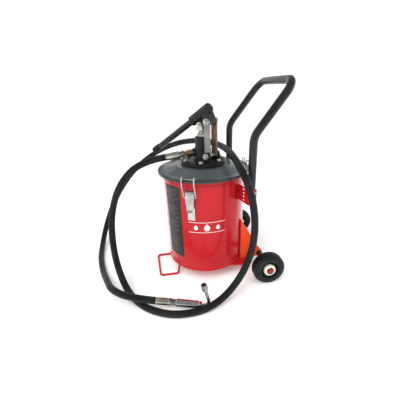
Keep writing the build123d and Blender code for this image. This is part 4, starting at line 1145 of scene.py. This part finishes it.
def add_latch_lever(letter, azimuth):
    """Pressed latch lever: a tapered web with rolled sides, a raised rib and a tip curled outwards."""
    out = radial(azimuth)
    side = radial(azimuth + 90)
    pin_r, pin_z = LATCH_PIN
    bm = bmesh.new()
    sections = []
    for z, r, half, flange in (
        (340.5, 145.0, 13.6, 3.0), (339.6, 148.0, 13.9, 5.0), (337.0, 150.0, 14.0, 8.0),
        (332.0, 151.2, 14.0, 9.5), (322.0, 152.0, 14.0, 9.5), (312.0, 152.3, 14.0, 9.0),
        (304.0, 152.4, 13.6, 5.0), (296.0, 152.4, 12.6, 2.4), (288.0, 152.6, 11.6, 1.8),
        (282.0, 153.2, 11.0, 1.6), (278.0, 154.4, 10.6, 1.6), (275.6, 156.0, 10.2, 1.6),
        (274.6, 157.4, 9.6, 1.6),
    ):
        ring = []
        rib = 0.9 if 284 < z < 330 else 0.0
        sheet = LEVER_SHEET / MM
        for across, depth in (
            (-half, -flange), (-half, -1.0), (-half + 1.0, 0.0), (-0.45 * half, 0.0), (-0.30 * half, rib),
            (0.30 * half, rib), (0.45 * half, 0.0), (half - 1.0, 0.0), (half, -1.0), (half, -flange),
            (half - sheet, -flange), (half - sheet, -sheet), (0.4 * half, -sheet), (-0.4 * half, -sheet),
            (-half + sheet, -sheet), (-half + sheet, -flange),
        ):
            depth = min(depth, 0.0 if z > 338 else depth)
            point = DRUM_AXIS + out * ((r + depth) * MM) + side * (across * MM) + Vector((0, 0, z * MM))
            ring.append(point)
        sections.append(ring)
    loft(bm, sections)
    pin = turned_frame(DRUM_AXIS + out * pin_r - side * 15.2 * MM + Vector((0, 0, pin_z)), side)
    for rivet_head in ([(-0.6, 2.2), (0, 3.2), (1.2, 3.2)], [(29.2, 3.2), (30.4, 3.2), (31.0, 2.2)]):
        turn(bm, pin, in_mm(rivet_head), 24)
    name = f"pressed_lever_{letter}"
    piece(name, bm, f"latch_{letter}", "silver", [f"latch_lever_{letter}"],
          sharp=35)


# ---- welds, hem and grip
def bead(bm, points, radius, ripple=0.12):
    """Weld bead: a rippled round strip along points."""
    dense = even_steps([Vector(point) for point in points], 1.2 * MM)
    size = lambda travelled, angle: radius * (1 + ripple * sin(travelled / MM * 2.4))
    strip = tube_mesh("bead", dense, size, 12)
    bm.from_mesh(strip)
    bpy.data.meshes.remove(strip)


GUSSET_SPAN = (49, 203)
BRACKET_SPAN = (285, 335)
SEAM_AZIMUTH = 124


def add_welds():
    """Rippled beads where the gussets and brackets meet the drum, and the drum's seam at the back."""
    bm = bmesh.new()
    root_y = DRUM_Y + 111.6 * MM
    for side in (-1, 1):
        for x in (84 * MM, 88 * MM):
            bead(bm, [(side * x, root_y, z * MM) for z in GUSSET_SPAN], 1.8 * MM)
        foot = Vector((side * 96.6 * MM, DRUM_Y + 100.6 * MM, 0))
        for shift in (-1.6 * MM, 1.6 * MM):
            step = Vector((-0.231 * side * shift, 0.973 * shift, 0))
            bead(bm, [foot + step + Vector((0, 0, z * MM)) for z in BRACKET_SPAN], 1.5 * MM)
    seam = [drum_point(SEAM_AZIMUTH, DRUM_R - 0.2 * MM, z * MM) for z in (50, 120, 200, 280, 368)]
    bead(bm, seam, 1.2 * MM)
    piece("weld_beads", bm, "trolley", "red", sharp=60)


def hoop(bm, z, centre_r, radius, steps):
    """Round ring about the drum's axis, with its sizes in millimetres."""
    angles = [2 * pi * step / steps for step in range(steps)]
    rows = [(z + radius * sin(angle), centre_r + radius * cos(angle)) for angle in angles]
    turn(bm, turned_frame(DRUM_AXIS, (0, 0, 1), (1, 0, 0)), in_mm(rows), 160, closed=True)


def add_drum_hem():
    """Rolled hem round the foot of the drum, and two pressed beads."""
    bm = bmesh.new()
    for z, centre_r, radius in ((46.2, 138.9, 1.6), (352.0, 138.0, 1.5), (88.0, 137.9, 1.2)):
        hoop(bm, z, centre_r, radius, 12)
    piece("drum_hems", bm, "trolley", "red", sharp=60)


def add_lid_roll():
    """Rolled wire edge of the lid."""
    bm = bmesh.new()
    hoop(bm, 371.4, 151.3, 3.6, 16)
    piece("lid_roll", bm, "trolley", "black", sharp=60)


def add_grip():
    """Ribbed rubber grip on the lever's end."""
    low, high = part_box("lever_grip")
    slope = radians(31.6)
    ahead = LEVER_OUT * cos(slope) - Vector((0, 0, sin(slope)))
    start = (Vector(low) + Vector(high)) / 2 - ahead * 17 * MM
    rows = [(0, 10.9), (0.5, 12.0), (1.6, 12.6), (3.4, 12.6)]
    for index in range(8):
        z = 4.2 + 3.2 * index
        rows += [(z, 12.5), (z + 0.5, 11.8), (z + 1.1, 11.8), (z + 1.6, 12.5)]
    rows += [(31.0, 12.6), (32.6, 12.3), (33.5, 11.2), (34, 9.0)]
    turned_piece("ribbed_grip", turned_frame(start, ahead), in_mm(rows), 56, "lever", "rubber",
                 "lever_grip", sharp=30)


def make_all():
    """Build the scene in order."""
    make_looks()
    add_camera()
    add_studio()
    dress_nodes()
    add_ferrules()
    add_valve_barrel()
    add_spout_coupler()
    add_valve_nuts()
    add_hose()
    add_outlet_fittings()
    add_panel()
    add_emblem()
    for side, hand in ((1, "right"), (-1, "left")):
        add_tyre(side, hand)
        add_wheel_disc(side, hand)
        add_hub(side, hand)
    add_axle_cap()
    add_flange_bolts()
    add_bracket_bolts()
    add_link_bolts()
    add_gland()
    for letter, azimuth in LATCHES.items():
        add_latch_lever(letter, azimuth)
    add_welds()
    add_drum_hem()
    add_lid_roll()
    add_grip()


make_all()
bpy.context.view_layer.update()
